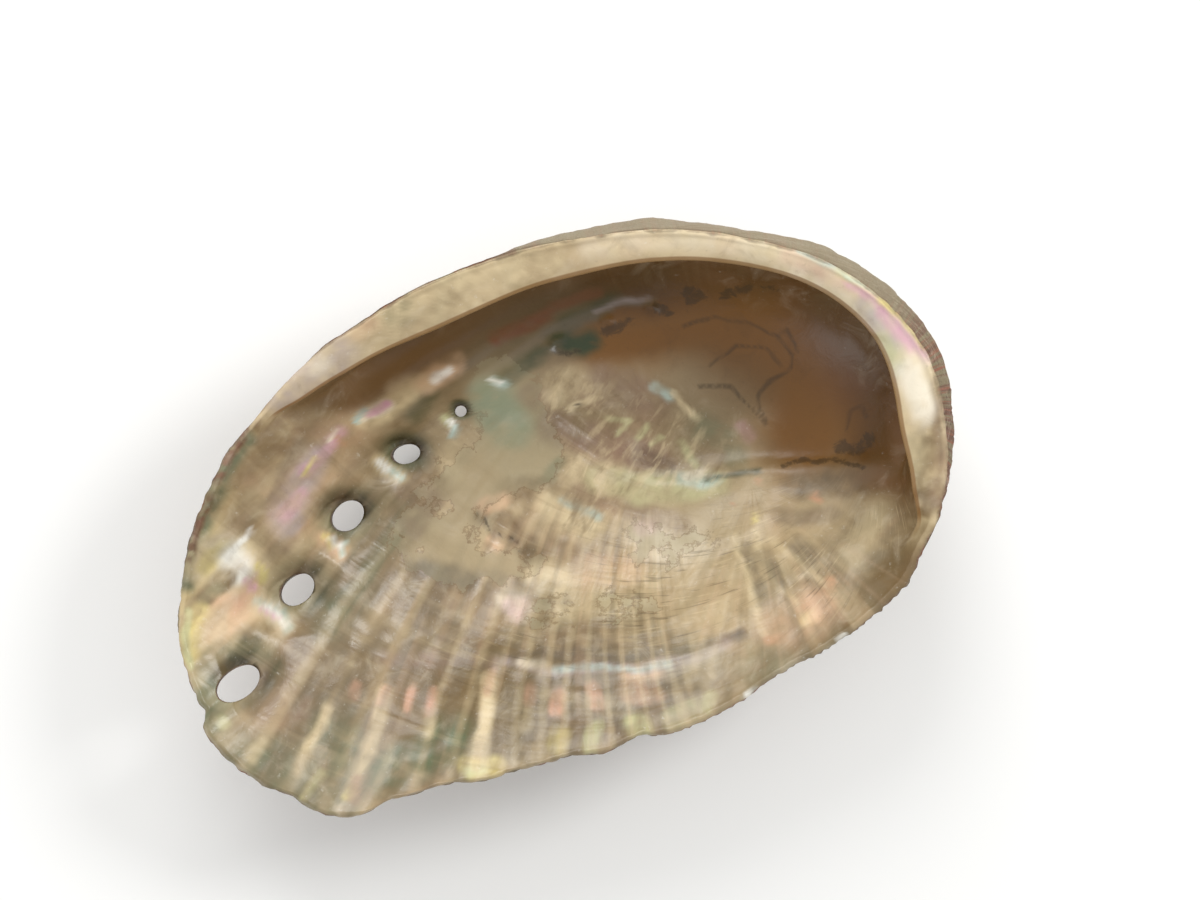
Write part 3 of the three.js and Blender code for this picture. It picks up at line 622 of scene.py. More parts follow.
def relief_tree():
    """The nodes that raise the ribs and growth lines, cut the holes and give the shell its material."""
    tree = bpy.data.node_groups.new("Shell relief and holes", "GeometryNodeTree")
    socket = tree.interface.new_socket
    socket("Geometry", in_out="INPUT", socket_type="NodeSocketGeometry")
    socket("Hole centres", in_out="INPUT", socket_type="NodeSocketObject")
    socket("Material", in_out="INPUT", socket_type="NodeSocketMaterial")
    for name in ("Rib height", "Growth line height", "Crust height", "Nacre ripple height"):
        socket(name, in_out="INPUT", socket_type="NodeSocketFloat").subtype = "DISTANCE"
    socket("Ribs a turn", in_out="INPUT", socket_type="NodeSocketFloat")
    socket("Geometry", in_out="OUTPUT", socket_type="NodeSocketGeometry")

    g = Graph(tree)
    given = g.node("NodeGroupInput").outputs

    def field(name, kind="FLOAT"):
        return g.node("GeometryNodeInputNamedAttribute", [name], data_type=kind).outputs[0]

    side, growth = field("side"), field("growth", "FLOAT_VECTOR")
    place = g.node("GeometryNodeInputPosition").outputs[0]
    radius = g.node("ShaderNodeSeparateXYZ", [growth]).outputs["Z"]

    # ribs that sway and vary in height run over the back, and more softly over the nacre of the outer lip
    sway = g.times(g.swing(place, 60.0), 3.0)
    wave = g.math("COSINE", g.add(g.times(field("cord"), given["Ribs a turn"]), sway))
    ribs = g.times(wave, g.noise(place, 45.0), given["Rib height"], 2.0)
    lines = g.times(g.swing(growth, 22.0), given["Growth line height"], 4.0)
    crust = g.times(g.swing(place, 420.0, 3.0), given["Crust height"], 4.0)
    ripple = g.times(g.swing(place, 120.0), given["Nacre ripple height"], 2.0)
    lip_ribs = g.times(ribs, g.step(radius, 0.11, 0.2), -0.7)
    height = g.add(g.times(side, g.add(ribs, lines, crust)),
                   g.times(g.math("SUBTRACT", 1.0, side), g.add(ripple, lip_ribs)))
    outward = g.node("GeometryNodeInputNormal").outputs[0]
    offset = g.node("ShaderNodeVectorMath", {0: outward, "Scale": g.times(height, field("relief"))},
                    operation="SCALE").outputs[0]
    kept = g.node("GeometryNodeStoreNamedAttribute",
                  {"Geometry": given["Geometry"], "Name": "ribs", "Value": wave},
                  data_type="FLOAT", domain="POINT").outputs[0]
    raised = g.node("GeometryNodeSetPosition", {"Geometry": kept, "Offset": offset}).outputs[0]

    # an oval plug at each hole's centre is cut out
    centres = g.node("GeometryNodeObjectInfo", {"Object": given["Hole centres"]}, transform_space="RELATIVE")
    plug = g.node("GeometryNodeMeshCylinder", {"Vertices": 64, "Radius": 1.0, "Depth": 1.0}).outputs["Mesh"]
    plugs = g.node("GeometryNodeInstanceOnPoints", {
        "Points": centres.outputs["Geometry"], "Instance": plug,
        "Rotation": field("turn", "FLOAT_VECTOR"), "Scale": field("size", "FLOAT_VECTOR")}).outputs[0]
    plugs = g.node("GeometryNodeRealizeInstances", {"Geometry": plugs}).outputs[0]
    pierced = g.node("GeometryNodeMeshBoolean", {"Mesh 1": raised, "Mesh 2": plugs}, operation="DIFFERENCE",
                     solver="MANIFOLD").outputs["Mesh"]
    whole = g.node("GeometryNodeRealizeInstances", {"Geometry": pierced}).outputs[0]
    finished = g.node("GeometryNodeSetMaterial", {"Geometry": whole, "Material": given["Material"]})
    g.node("NodeGroupOutput", {0: finished.outputs[0]})
    return tree


# What the relief reads from the mesh and the finished shell doesn't keep
RELIEF_FIELDS = ("cord", "growth", "relief", "turn", "size")


def hole_centres(outside, matrix):
    """A mesh of one point for each open hole, with the turn and size of the plug that cuts it."""
    first_row = 3                 # the margin's own rows have no hole
    straight_down = Vector((0, 0, -1))
    places, turns, sizes = [], [], []
    for cx, cy, long, wide, turn, _ in HOLES:
        away = np.hypot(outside[:, first_row:-1, 0] - cx, outside[:, first_row:-1, 1] - cy)
        i, j = np.unravel_index(np.argmin(away), away.shape)
        j += first_row
        along = outside[(i + 1) % COLUMNS, j, :3] - outside[i - 1, j, :3]
        down = outside[i, j + 1, :3] - outside[i, j - 1, :3]
        outward = Vector(np.cross(along, down)).normalized()
        outward = -outward if outward.z > 0 else outward
        # the plug stands nearly upright, leaning a little with the wall
        axis = straight_down.lerp(outward, 0.15).normalized()
        across = Vector((math.cos(math.radians(turn)), math.sin(math.radians(turn)), 0))
        across = (across - axis * across.dot(axis)).normalized()
        local = Matrix((across, axis.cross(across), axis)).transposed()
        places.append(tuple(matrix @ Vector((cx, cy, outside[i, j, 2] + HOLE_WALL))))
        turns.append(tuple((matrix.to_3x3().normalized() @ local).to_euler()))
        sizes.append((long / 2 * MM, wide / 2 * MM, PLUG_LENGTH * MM))
    mesh = bpy.data.meshes.new("hole centres")
    mesh.from_pydata(places, [], [])
    store(mesh, "turn", turns, "FLOAT_VECTOR")
    store(mesh, "size", sizes, "FLOAT_VECTOR")
    return mesh


def as_seen(places):
    """Where points of the mouth frame stand in the photograph, in its pixels."""
    scale = VIEW_DISTANCE / (VIEW_DISTANCE - places[:, 2]) / PIXEL
    middle_x, middle_y = PICTURE_CENTRE
    return np.column_stack([middle_x + places[:, 0] * scale, middle_y - places[:, 1] * scale])


def path_distance(places, path):
    """How far each place is from a path of straight stretches."""
    nearest = np.full(len(places), 1e9)
    for a, b in zip(path, path[1:]):
        way = b - a
        along = np.clip(((places - a) @ way) / (way @ way + 1e-9), 0, 1)
        nearest = np.minimum(nearest, np.hypot(*(places - a - along[:, None] * way).T))
    return nearest


def mark(places, radius, softness, points):
    """How strongly a mark covers each place: a dab at one point or a brush stroke along several."""
    path = np.array(points, float)
    if len(path) == 1:
        path = np.vstack([path, path + 0.01])
    return smooth(path_distance(places, path), radius + softness, radius - softness)


# Marks of the nacre in the bowl, in pixels of the photograph: colour, strength, radius, softness and the
# points of the stroke. Later marks lie over earlier ones. BROKEN_MARKS says how they are made stronger, to
# allow for the places where they are broken up, and crisper.
BROKEN_MARKS = (1.25, 0.75)
MARKS = (
    # the outer lip, and the dim ground beside the row of holes
    ("dusk", 0.8, 80, 50, ((300, 700), (420, 720), (560, 700), (620, 700))),
    ("walnut", 0.6, 24, 22, ((300, 640), (350, 580), (395, 530), (430, 480))),
    ("walnut", 0.6, 60, 36, ((250, 740), (310, 700), (380, 690), (470, 695))),
    ("sage", 0.6, 30, 24, ((235, 750), (280, 785), (330, 800))),
    ("slate", 0.45, 40, 30, ((560, 700), (640, 695), (700, 680))),
    ("walnut", 0.7, 30, 24, ((330, 585), (390, 590), (430, 600))),
    ("dusk", 0.9, 26, 20, ((318, 702), (345, 698))),
    ("dusk", 0.7, 26, 20, ((325, 590), (350, 575))),
    ("dusk", 0.5, 40, 30, ((440, 620), (500, 625), (560, 620))),
    ("sage", 0.5, 20, 18, ((330, 620), (370, 560), (400, 500))),
    # the left side
    ("gold", 0.2, 60, 40, ((250, 440), (220, 520), (210, 600))),
    ("walnut", 0.6, 34, 28, ((290, 430), (350, 440), (400, 420), (440, 400))),
    ("walnut", 0.5, 30, 24, ((400, 470), (370, 500), (330, 560))),
    ("mauve", 0.4, 30, 24, ((280, 430), (260, 500), (270, 560))),
    ("walnut", 0.5, 16, 14, ((262, 445), (250, 480), (240, 520), (262, 545))),
    ("sage", 0.9, 12, 8, ((244, 440), (222, 475), (204, 510), (193, 545), (186, 580))),
    ("bottle", 0.5, 5, 5, ((205, 505), (194, 540), (187, 572))),
    ("walnut", 0.5, 14, 12, ((318, 500), (302, 530), (292, 545))),
    ("mauve", 0.4, 13, 10, ((318, 425), (302, 450), (288, 480), (280, 512), (284, 535))),
    ("slate", 0.5, 6, 5, ((300, 440), (284, 470), (276, 500))),
    ("peach", 0.35, 22, 16, ((350, 425), (325, 450), (305, 490), (295, 520))),
    # painted highlights and sheen on the left wall: lilac, pink, orange, gold, pearl, cream and aqua streaks
    ("lilac", 0.6, 14, 10, ((318, 455), (300, 490), (284, 520))),
    ("pink", 0.55, 7, 6, ((342, 432), (328, 447), (316, 460), (306, 470))),
    ("orange", 0.6, 3, 3, ((340, 438), (345, 444))),
    ("gold", 0.9, 3, 2.5, ((314, 455), (309, 466), (306, 474))),
    ("pearl", 0.7, 3, 3, ((338, 430), (330, 440))),
    ("pink", 0.45, 6, 5, ((302, 492), (293, 505), (284, 518))),
    ("lilac", 0.5, 6, 5, ((296, 520), (288, 528), (282, 534))),
    ("cream", 0.8, 12, 9, ((366, 416), (385, 410), (400, 398), (412, 388))),
    ("pearl", 0.9, 6, 5, ((365, 414), (378, 409), (390, 405))),
    ("pink", 0.8, 4, 3, ((372, 412), (384, 407), (390, 403))),
    ("aqua", 0.9, 3, 2.5, ((367, 406), (361, 413), (358, 420))),
    ("cream", 0.7, 9, 7, ((396, 384), (410, 392), (424, 384))),
    ("bottle", 0.6, 9, 7, ((430, 392), (424, 405), (414, 415))),
    ("peach", 0.6, 10, 8, ((425, 385), (440, 372), (455, 364))),
    # a painted glint by the fifth hole
    ("glint_white", 0.7, 4, 4, ((432, 380), (448, 368))),
    # a painted highlight: the hot spot on the left wall, peach, cream, rose, pearl, gold, pink and white
    # round its bright middle
    ("peach", 0.9, 24, 14, ((262, 590), (240, 605), (215, 622))),
    ("cream", 0.8, 24, 14, ((213, 560), (232, 556), (250, 575), (262, 592))),
    ("rose", 0.6, 10, 8, ((252, 578), (250, 596), (240, 606))),
    ("pearl", 0.9, 13, 9, ((224, 548), (236, 560), (242, 572))),
    ("gold", 0.7, 8, 7, ((214, 555), (207, 566), (222, 548))),
    ("glint_white", 1.0, 12, 9, ((230, 556), (236, 564), (238, 573))),
    ("glint_white", 0.9, 3, 3, ((224, 556), (236, 544), (248, 530))),
    ("gold", 0.8, 5, 4, ((258, 566), (265, 574), (262, 582))),
    ("pink", 0.7, 5, 4, ((246, 584), (254, 590))),
    ("walnut", 0.9, 9, 6, ((227, 577), (214, 588), (201, 602), (189, 620))),
    ("sage", 0.5, 6, 5, ((218, 586), (204, 600))),
    ("gold", 0.8, 9, 8, ((200, 612), (192, 632), (188, 655))),
    ("lime", 0.9, 4, 4, ((188, 612), (184, 632), (186, 655), (190, 668))),
    ("cream", 0.6, 12, 10, ((215, 620), (208, 640))),
    ("walnut", 0.7, 10, 9, ((246, 634), (262, 634), (280, 640))),
    # the green round the last hole; the bottle green above it is partly painted shade
    ("sage", 0.8, 16, 12, ((215, 660), (205, 690), (213, 715))),
    ("bottle", 0.5, 14, 12, ((225, 650), (250, 650), (270, 665))),
    ("lime", 0.7, 6, 5, ((219, 718), (223, 724))),
    ("cream", 0.4, 14, 12, ((240, 725), (235, 740))),
    # streaks that fan out over the outer lip
    ("sage", 0.7, 20, 16, ((275, 770), (310, 790))),
    ("sage", 0.5, 34, 25, ((335, 745), (340, 760))),
    ("sage", 0.8, 22, 16, ((385, 775), (430, 752), (450, 735))),
    ("mauve", 0.6, 5, 5, ((295, 690), (285, 705))),
    ("mauve", 0.7, 5, 5, ((305, 705), (298, 720))),
    ("cream", 0.6, 5, 5, ((327, 707), (322, 722), (310, 745), (298, 770))),
    ("cream", 0.5, 5, 5, ((262, 742), (252, 760))),
    ("rose", 0.7, 5, 5, ((357, 682), (353, 694))),
    ("cream", 0.9, 7, 6, ((385, 690), (376, 725), (364, 760), (352, 790))),
    ("rose", 0.7, 5, 4, ((386, 688), (380, 704))),
    ("gold", 0.8, 6, 5, ((352, 790), (347, 797))),
    ("rose", 0.6, 6, 5, ((357, 780), (352, 800))),
    ("pearl", 0.5, 5, 5, ((345, 808), (342, 812))),
    ("lime", 0.7, 4, 4, ((322, 775), (312, 790), (305, 800))),
    ("gold", 0.7, 12, 8, ((470, 768), (492, 766))),
    ("lime", 0.9, 7, 6, ((468, 772), (478, 770))),
    ("cream", 0.9, 7, 6, ((489, 678), (485, 700), (480, 735))),
    ("rose", 0.5, 5, 5, ((492, 672), (487, 690))),
    ("cream", 0.5, 8, 7, ((480, 740), (472, 765))),
    ("rose", 0.8, 4, 4, ((412, 688), (406, 708))),
    ("rose", 0.8, 5, 4, ((434, 690), (428, 710))),
    ("cream", 0.5, 6, 5, ((430, 720), (428, 735))),
    ("rose", 0.6, 6, 5, ((531, 690), (530, 700))),
    ("cream", 0.4, 5, 5, ((530, 710), (528, 725))),
    ("rose", 0.8, 6, 5, ((560, 692), (558, 712))),
    ("rose", 0.8, 7, 5, ((595, 690), (596, 708))),
    ("orange", 0.35, 14, 8, ((632, 692), (650, 695))),
    ("peach", 0.6, 10, 7, ((630, 672), (655, 668))),
    ("gold", 0.4, 10, 8, ((560, 735), (556, 745))),
    ("lime", 0.5, 9, 6, ((595, 730), (592, 745))),
    ("lime", 0.6, 12, 8, ((635, 722), (642, 730))),
    ("lime", 0.6, 6, 5, ((712, 695), (710, 706))),
    ("lime", 0.3, 14, 10, ((675, 715), (690, 710))),
    ("dusk", 0.7, 5, 4, ((560, 722), (610, 714), (650, 706), (700, 690))),
    # a painted glint
    ("glint_white", 0.9, 4, 3, ((746, 694), (753, 688))),
    # the growth step across the floor
    ("slate", 0.8, 6, 5, ((395, 660), (440, 662), (480, 666), (520, 656), (560, 656), (600, 658))),
    ("slate", 0.9, 6, 5, ((540, 655), (600, 659), (650, 656), (700, 648), (745, 637))),
    ("mauve", 0.6, 7, 5, ((380, 656), (440, 661), (495, 662))),
    ("lilac", 0.4, 5, 4, (
        (505, 662), (540, 670), (570, 671), (600, 669), (650, 667), (690, 659), (725, 648))),
    ("aqua", 0.5, 3, 3, ((555, 669), (600, 669), (640, 668), (670, 664))),
    ("pearl", 0.5, 5, 5, ((520, 664), (545, 662))),
    ("pearl", 0.6, 12, 8, ((508, 600), (520, 612))),
    ("pink", 0.25, 8, 7, ((508, 605), (515, 615), (522, 605))),
    ("olive", 0.25, 16, 10, ((545, 615), (560, 612), (600, 605), (625, 608))),
    ("cream", 0.4, 20, 14, ((570, 600), (600, 592), (640, 590))),
    ("walnut", 0.4, 16, 12, ((395, 575), (430, 578), (470, 584))),
    ("slate", 0.7, 10, 8, ((415, 570), (445, 575), (470, 580))),
    # the muscle scar and what lies round it
    ("fern", 0.9, 22, 14, ((492, 398), (508, 425))),
    ("mauve", 0.5, 14, 10, ((408, 490), (425, 500), (415, 520))),
    ("cream", 0.4, 8, 6, ((450, 450), (448, 465), (455, 475))),
    ("slate", 0.6, 10, 8, ((490, 578), (520, 588), (560, 592))),
    ("walnut", 0.8, 13, 8, ((485, 512), (510, 528), (525, 545), (530, 555))),
    ("walnut", 0.6, 10, 8, ((505, 490), (545, 490))),
    ("umber", 0.7, 2.5, 2.5, ((477, 512), (488, 530), (510, 540), (520, 552), (532, 548))),
    ("peach", 0.8, 8, 6, ((485, 505), (500, 498))),
    ("peach", 0.8, 6, 5, ((490, 538), (496, 545))),
    ("cream", 0.7, 10, 8, ((545, 500), (560, 512), (590, 525))),
    ("aqua", 0.5, 4, 3, ((565, 500), (590, 510), (597, 515))),
    ("walnut", 0.5, 12, 8, ((550, 545), (580, 550), (610, 550))),
    ("cream", 0.6, 16, 10, ((540, 575), (560, 580))),
    ("peach", 0.4, 16, 10, ((590, 572), (630, 572))),
    ("pearl", 0.4, 20, 14, ((650, 540), (670, 550), (690, 545))),
    ("pink", 0.2, 8, 6, ((642, 528), (650, 524))),
    # the ridge and the feathered patch above it
    ("mauve", 0.6, 20, 12, ((600, 385), (640, 395), (650, 405))),
    ("mauve", 0.8, 18, 10, ((555, 430), (590, 435), (630, 450), (660, 465))),
    ("mauve", 0.5, 12, 8, ((530, 395), (545, 400))),
    ("umber", 0.3, 10, 8, ((640, 455), (665, 468))),
    ("cream", 0.4, 14, 10, ((555, 395), (560, 385), (575, 380))),
    ("cream", 0.6, 3, 2.5, ((570, 410), (580, 402), (592, 396))),
    ("umber", 0.9, 2, 1.5, ((582, 403),)),
    ("lime", 0.55, 3, 3, ((606, 416), (625, 419))),
    ("lime", 0.55, 3, 3, ((615, 431), (628, 420))),
    ("lime", 0.55, 3, 3, ((638, 438), (648, 426))),
    ("lime", 0.5, 3, 3, ((652, 446), (660, 438))),
    ("lime", 0.5, 4, 4, ((680, 440), (688, 455), (695, 465))),
    ("aqua", 0.6, 6, 5, ((655, 385), (668, 395))),
    ("cream", 0.8, 3, 3, ((672, 392), (685, 407), (696, 417))),
    ("sage", 0.4, 14, 10, ((700, 425), (720, 440), (735, 455))),
    ("pink", 0.2, 6, 5, ((740, 425), (750, 440))),
    ("mauve", 0.5, 10, 8, ((580, 490), (620, 505), (660, 515), (680, 522))),
    ("lime", 0.5, 14, 9, ((600, 478), (640, 488), (680, 488), (715, 485))),
    ("sage", 0.6, 7, 5, ((558, 466), (548, 480))),
    ("cream", 0.8, 5, 4, ((585, 460), (575, 480))),
    ("cream", 0.6, 5, 4, ((610, 465), (600, 480))),
    ("aqua", 0.6, 6, 5, ((680, 478), (700, 482), (715, 480))),
    ("pearl", 0.8, 4, 3, ((685, 476), (700, 472))),
    ("bottle", 0.7, 3, 3, ((705, 478), (730, 474), (760, 471))),
    ("orange", 0.7, 3, 3, ((757, 481), (759, 482))),
    # the cavity under the shelf
    ("bottle", 0.9, 12, 9, ((560, 342), (575, 347), (590, 340))),
    ("bottle", 0.6, 10, 8, ((505, 375), (520, 365), (540, 355))),
    ("bottle", 0.6, 9, 8, ((565, 325), (590, 312), (615, 300))),
    ("slate", 0.6, 5, 4, ((545, 330), (580, 322), (620, 305), (650, 300))),
    ("lilac", 0.3, 2.5, 3, ((600, 311), (625, 304), (650, 298))),
    ("rosewood", 0.8, 7, 6, ((495, 338), (520, 326), (545, 316))),
    ("rosewood", 0.6, 6, 5, ((550, 308), (575, 298), (600, 292))),
    ("slate", 0.6, 14, 12, ((800, 486), (840, 484), (870, 480))),
    # the right side of the floor, laid darker along the right rim partly as painted shade
    ("dusk", 0.6, 50, 36, ((900, 520), (860, 580), (800, 640))),
    ("slate", 0.7, 16, 14, ((935, 480), (925, 530), (905, 575), (870, 610), (820, 645), (760, 675))),
    ("walnut", 1.0, 22, 16, ((940, 470), (932, 510), (917, 550), (898, 582))),
    ("olive", 0.6, 20, 14, ((860, 605), (830, 632), (790, 655), (760, 668))),
    ("cream", 0.4, 12, 10, ((880, 500), (870, 530), (850, 560))),
    ("cream", 0.6, 3.5, 4, ((737, 535), (745, 570), (755, 600), (765, 635))),
    ("cream", 0.6, 3.5, 4, ((757, 530), (765, 560), (780, 590), (795, 605))),
    ("cream", 0.45, 3.5, 4, ((770, 540), (800, 560), (825, 585))),
    ("walnut", 0.7, 20, 16, ((905, 560), (880, 598), (845, 622), (805, 645))),
    ("slate", 0.5, 6, 5, ((748, 545), (755, 575), (762, 600))),
    ("slate", 0.5, 7, 6, ((765, 555), (780, 580))),
    ("slate", 0.5, 8, 7, ((795, 545), (810, 560))),
    ("slate", 0.5, 8, 7, ((780, 515), (800, 520), (830, 515))),
    ("orange", 0.5, 4, 3, ((798, 612), (804, 609))),
    ("orange", 0.35, 5, 4, ((806, 605), (820, 596), (830, 590))),
    ("orange", 0.7, 5, 4, ((831, 582),)),
    ("gold", 0.5, 6, 5, ((803, 622), (810, 618))),
    ("orange", 0.6, 5, 4, ((770, 642), (780, 640))),
    ("peach", 0.5, 8, 6, ((815, 615), (828, 605))),
    ("peach", 0.5, 24, 18, ((785, 625), (815, 612))),
    ("orange", 0.7, 3, 3, ((813, 495), (820, 502))),
    ("orange", 0.7, 2.5, 2, ((733, 506),)),
    ("gold", 0.6, 3, 3, ((755, 512), (755, 520))),
    # a painted glint
    ("glint_white", 0.8, 2.5, 2, ((841, 641), (846, 637))),
)
# Smooth colours of the cavity under the shelf, beneath its other marks: its own amber and brown, with dusk
# and cocoa laid darker as painted shade under the shelf and a band of umber just below the shelf's edge as
# its painted shadow
CAVITY_COLOURS_AND_SHADE = (
    ("walnut", 0.6, 40, 30, ((560, 400), (640, 410), (700, 435))),
    ("cocoa", 1.0, 45, 28, ((560, 312), (600, 298), (680, 290), (780, 300), (850, 340), (875, 400))),
    ("dusk", 1.0, 40, 28, ((400, 382), (450, 352), (520, 325), (560, 312))),
    ("umber", 0.45, 20, 20, ((420, 352), (500, 316), (580, 285), (680, 268), (760, 275))),
    ("cocoa", 1.0, 30, 22, ((860, 400), (865, 440))),
    ("amber", 0.4, 24, 24, ((700, 292), (780, 298))),
    ("amber", 1.0, 26, 20, ((600, 345), (660, 338), (720, 335), (780, 340))),
    ("amber", 1.0, 52, 32, ((760, 350), (800, 395), (805, 430))),
    ("rosewood", 0.35, 36, 30, ((830, 320), (860, 370))),
    ("walnut", 0.5, 30, 26, ((700, 380), (740, 392))),
)
# Painted highlights beside the holes, where the funnels' walls face the light, over the painted shade round
# them
HOLE_HIGHLIGHTS = (
    ("pearl", 0.8, 8, 6, ((262, 607), (274, 614), (286, 624))),
    ("aqua", 0.9, 4, 3.5, ((259, 604), (268, 611), (284, 618), (288, 628))),
    ("glint_white", 1.0, 3, 2.5, ((264, 609), (276, 616), (286, 626))),
    ("pink", 0.6, 2, 2, ((262, 612), (280, 622))),
    ("peach", 0.9, 7, 5, ((320, 538), (331, 546), (340, 555))),
    ("gold", 0.9, 4, 3.5, ((322, 537), (330, 546))),
    ("glint_white", 1.0, 3, 2.5, ((329, 541), (338, 549), (341, 556))),
    ("aqua", 0.9, 2.5, 2, ((343, 545), (340, 557))),
    ("cream", 0.9, 7, 5, ((379, 463), (388, 472), (398, 478))),
    ("glint_white", 1.0, 4, 3, ((380, 464), (387, 471))),
    ("aqua", 0.8, 3.5, 3, ((393, 473), (401, 479))),
    ("lime", 0.9, 4, 3.5, ((445, 418), (451, 424))),
    ("glint_white", 0.9, 3, 2.5, ((450, 422), (456, 428))),
    ("aqua", 0.9, 3, 2.5, ((457, 427), (453, 436))),
    ("aqua", 0.9, 4, 3, ((495, 379), (503, 383))),
    ("glint_white", 0.9, 2.5, 2, ((492, 378), (499, 380))),
)
# Where beads of the crust sit on the margin, in pixels
CRUSTED_EDGE = (
    ((256, 420), (236, 445), (218, 472)),
    ((204, 505), (188, 550)),
    ((946, 365), (956, 400), (956, 450), (950, 490)),
)
# The smooth film of the muscle scar, by how surely it covers a place: strength, radius, softness and points
SCAR = (
    (1.0, 32, 22, ((505, 390), (512, 425), (525, 452), (498, 468), (470, 482))),
    (0.78, 34, 20, ((470, 482), (445, 510), (425, 540), (455, 555))),
    (0.7, 16, 14, ((400, 545), (440, 560), (500, 566), (530, 560))),
    (0.35, 22, 16, ((545, 615), (600, 608), (640, 600))),
    (0.45, 26, 20, ((650, 545), (690, 548))),
)
# Blotches that the animal left in the cavity: strength, radius, softness and points
BLOTCHES = (
    (0.9, 7, 7, ((606, 331), (622, 326), (630, 321))),
    (0.9, 6, 6, ((656, 307), (670, 314))),
    (0.9, 7, 6, ((686, 291), (702, 296), (690, 301))),
    (0.9, 6, 6, ((723, 294), (738, 289), (748, 286))),
    (0.7, 5, 5, ((763, 288), (780, 291))),
    (0.9, 10, 8, ((842, 446), (855, 449), (867, 441))),
    (1.0, 3.5, 4, ((783, 466), (800, 461), (815, 462), (828, 459), (845, 461), (864, 467))),
    (0.8, 5, 6, ((552, 350), (566, 352), (580, 350))),
    (0.8, 2.5, 3, ((477, 512), (488, 530), (510, 540), (520, 552), (532, 548))),
    (0.4, 4, 5, ((608, 609), (626, 611))),
)
# Marks on the shelf
SHELF_MARKS = (
    ("sand", 0.8, 40, 20, ((240, 410), (330, 365), (450, 300), (560, 260))),
    ("walnut", 0.25, 30, 16, ((260, 400), (330, 365), (430, 310))),
    ("sand", 0.4, 30, 16, ((560, 260), (680, 240), (760, 250))),
    ("pearl", 0.9, 24, 14, ((800, 262), (850, 285), (890, 325), (912, 355))),
    ("sand", 0.9, 20, 16, ((922, 420), (926, 450), (920, 490))),
    ("walnut", 0.8, 12, 8, ((930, 425), (932, 460), (928, 490))),
    ("walnut", 1.0, 20, 12, ((935, 495), (928, 515), (915, 550), (895, 580))),
    ("lilac", 0.5, 14, 12, ((275, 400), (310, 375), (340, 355))),
    ("pearl", 0.5, 7, 6, ((318, 370), (325, 366))),
    ("sage", 0.35, 12, 10, ((395, 318), (410, 308))),
    ("rose", 0.3, 8, 6, ((355, 335), (370, 325))),
    # a painted glint along the shelf
    ("glint_white", 0.6, 2, 1.5, ((275, 420), (295, 405), (312, 395))),
    ("pearl", 0.5, 12, 10, ((590, 248), (680, 238), (760, 250))),
    ("rose", 0.6, 9, 7, ((790, 258), (830, 275), (860, 295))),
    ("lilac", 0.6, 8, 6, ((860, 305), (880, 325), (895, 345))),
    ("pink", 0.8, 6, 5, ((850, 285), (875, 300), (895, 320), (915, 342), (928, 356))),
    ("gold", 0.9, 4, 3, ((840, 272), (865, 285), (885, 302), (900, 316), (912, 330))),
    ("lime", 0.6, 6, 5, ((905, 320), (918, 335))),
    ("aqua", 0.8, 3, 2.5, (
        (800, 253), (830, 266), (860, 282), (885, 298), (908, 318), (925, 338), (938, 358))),
    ("gold", 1.0, 6, 4, ((884, 300), (900, 312), (914, 326), (924, 342))),
    ("lime", 0.8, 7, 5, ((884, 338), (892, 356), (897, 370))),
    ("pink", 0.7, 5, 4, ((880, 312), (896, 330), (908, 348))),
    # a painted highlight on the shelf's right end
    ("glint_white", 0.8, 11, 8, ((904, 374), (919, 392), (926, 410))),
    ("pearl", 0.7, 12, 9, ((905, 375), (920, 395), (922, 415))),
    ("olive", 0.4, 10, 8, ((915, 440), (916, 470))),
    ("rosewood", 0.5, 5, 4, ((935, 365), (940, 378))),
    ("mauve", 0.7, 8, 6, ((940, 385), (945, 430), (944, 470), (938, 500))),
)
# Thin lines that the animal left on the floor of the cavity
ARCS = (
    ((682, 327), (715, 317), (745, 322), (775, 335), (792, 355), (790, 370), (770, 382), (759, 395),
     (760, 410), (765, 425)),
    ((698, 386), (730, 386), (745, 402), (764, 426)),
    ((847, 432), (850, 410), (862, 405), (867, 417)),
    ((710, 365), (735, 346), (767, 350), (780, 366)),
    ((775, 335), (786, 330), (798, 352)),
)
# Where patterns lie, in pixels: radius, softness and points
CAVITY = (55, 35, ((400, 385), (500, 345), (600, 320), (700, 330), (800, 370), (830, 430)))
FEATHER = (30, 14, ((560, 400), (640, 430), (700, 462), (590, 470), (590, 515)))
WRINKLED_FLOOR = (60, 40, ((500, 625), (580, 610), (680, 600), (800, 560), (860, 520)))
SMOOTH_BACK = (60, 50, ((560, 220), (680, 200), (800, 220), (880, 270)))
FAN = (752, 484)                  # where the streaks of the right side of the floor fan out from, in pixels
FAN_SPREAD = 1500                 # the radius round it that counts as one where the fan's pattern is read
BARBS = math.radians(58)          # the direction of the feathered streaks on the middle of the floor
BARB_SIZE = (36, 13)              # their length and width, in pixels


WORN = 0.3 * MM                   # height over the floor below which the back is worn flat


def places_of(mesh):
    """The places of a mesh's points, one a row."""
    points = np.empty(3 * len(mesh.vertices))
    mesh.vertices.foreach_get("co", points)
    return points.reshape(-1, 3)


def settle(mesh):
    """Wears the back flat where the fine relief would reach past the solid shell's box or the floor."""
    points = places_of(mesh)
    low, high = (np.array(corner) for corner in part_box("shell"))
    points[:, 2] = np.where(points[:, 2] < WORN, WORN * np.exp(points[:, 2] / WORN - 1), points[:, 2])
    mesh.vertices.foreach_set("co", np.clip(points, low, high).ravel())


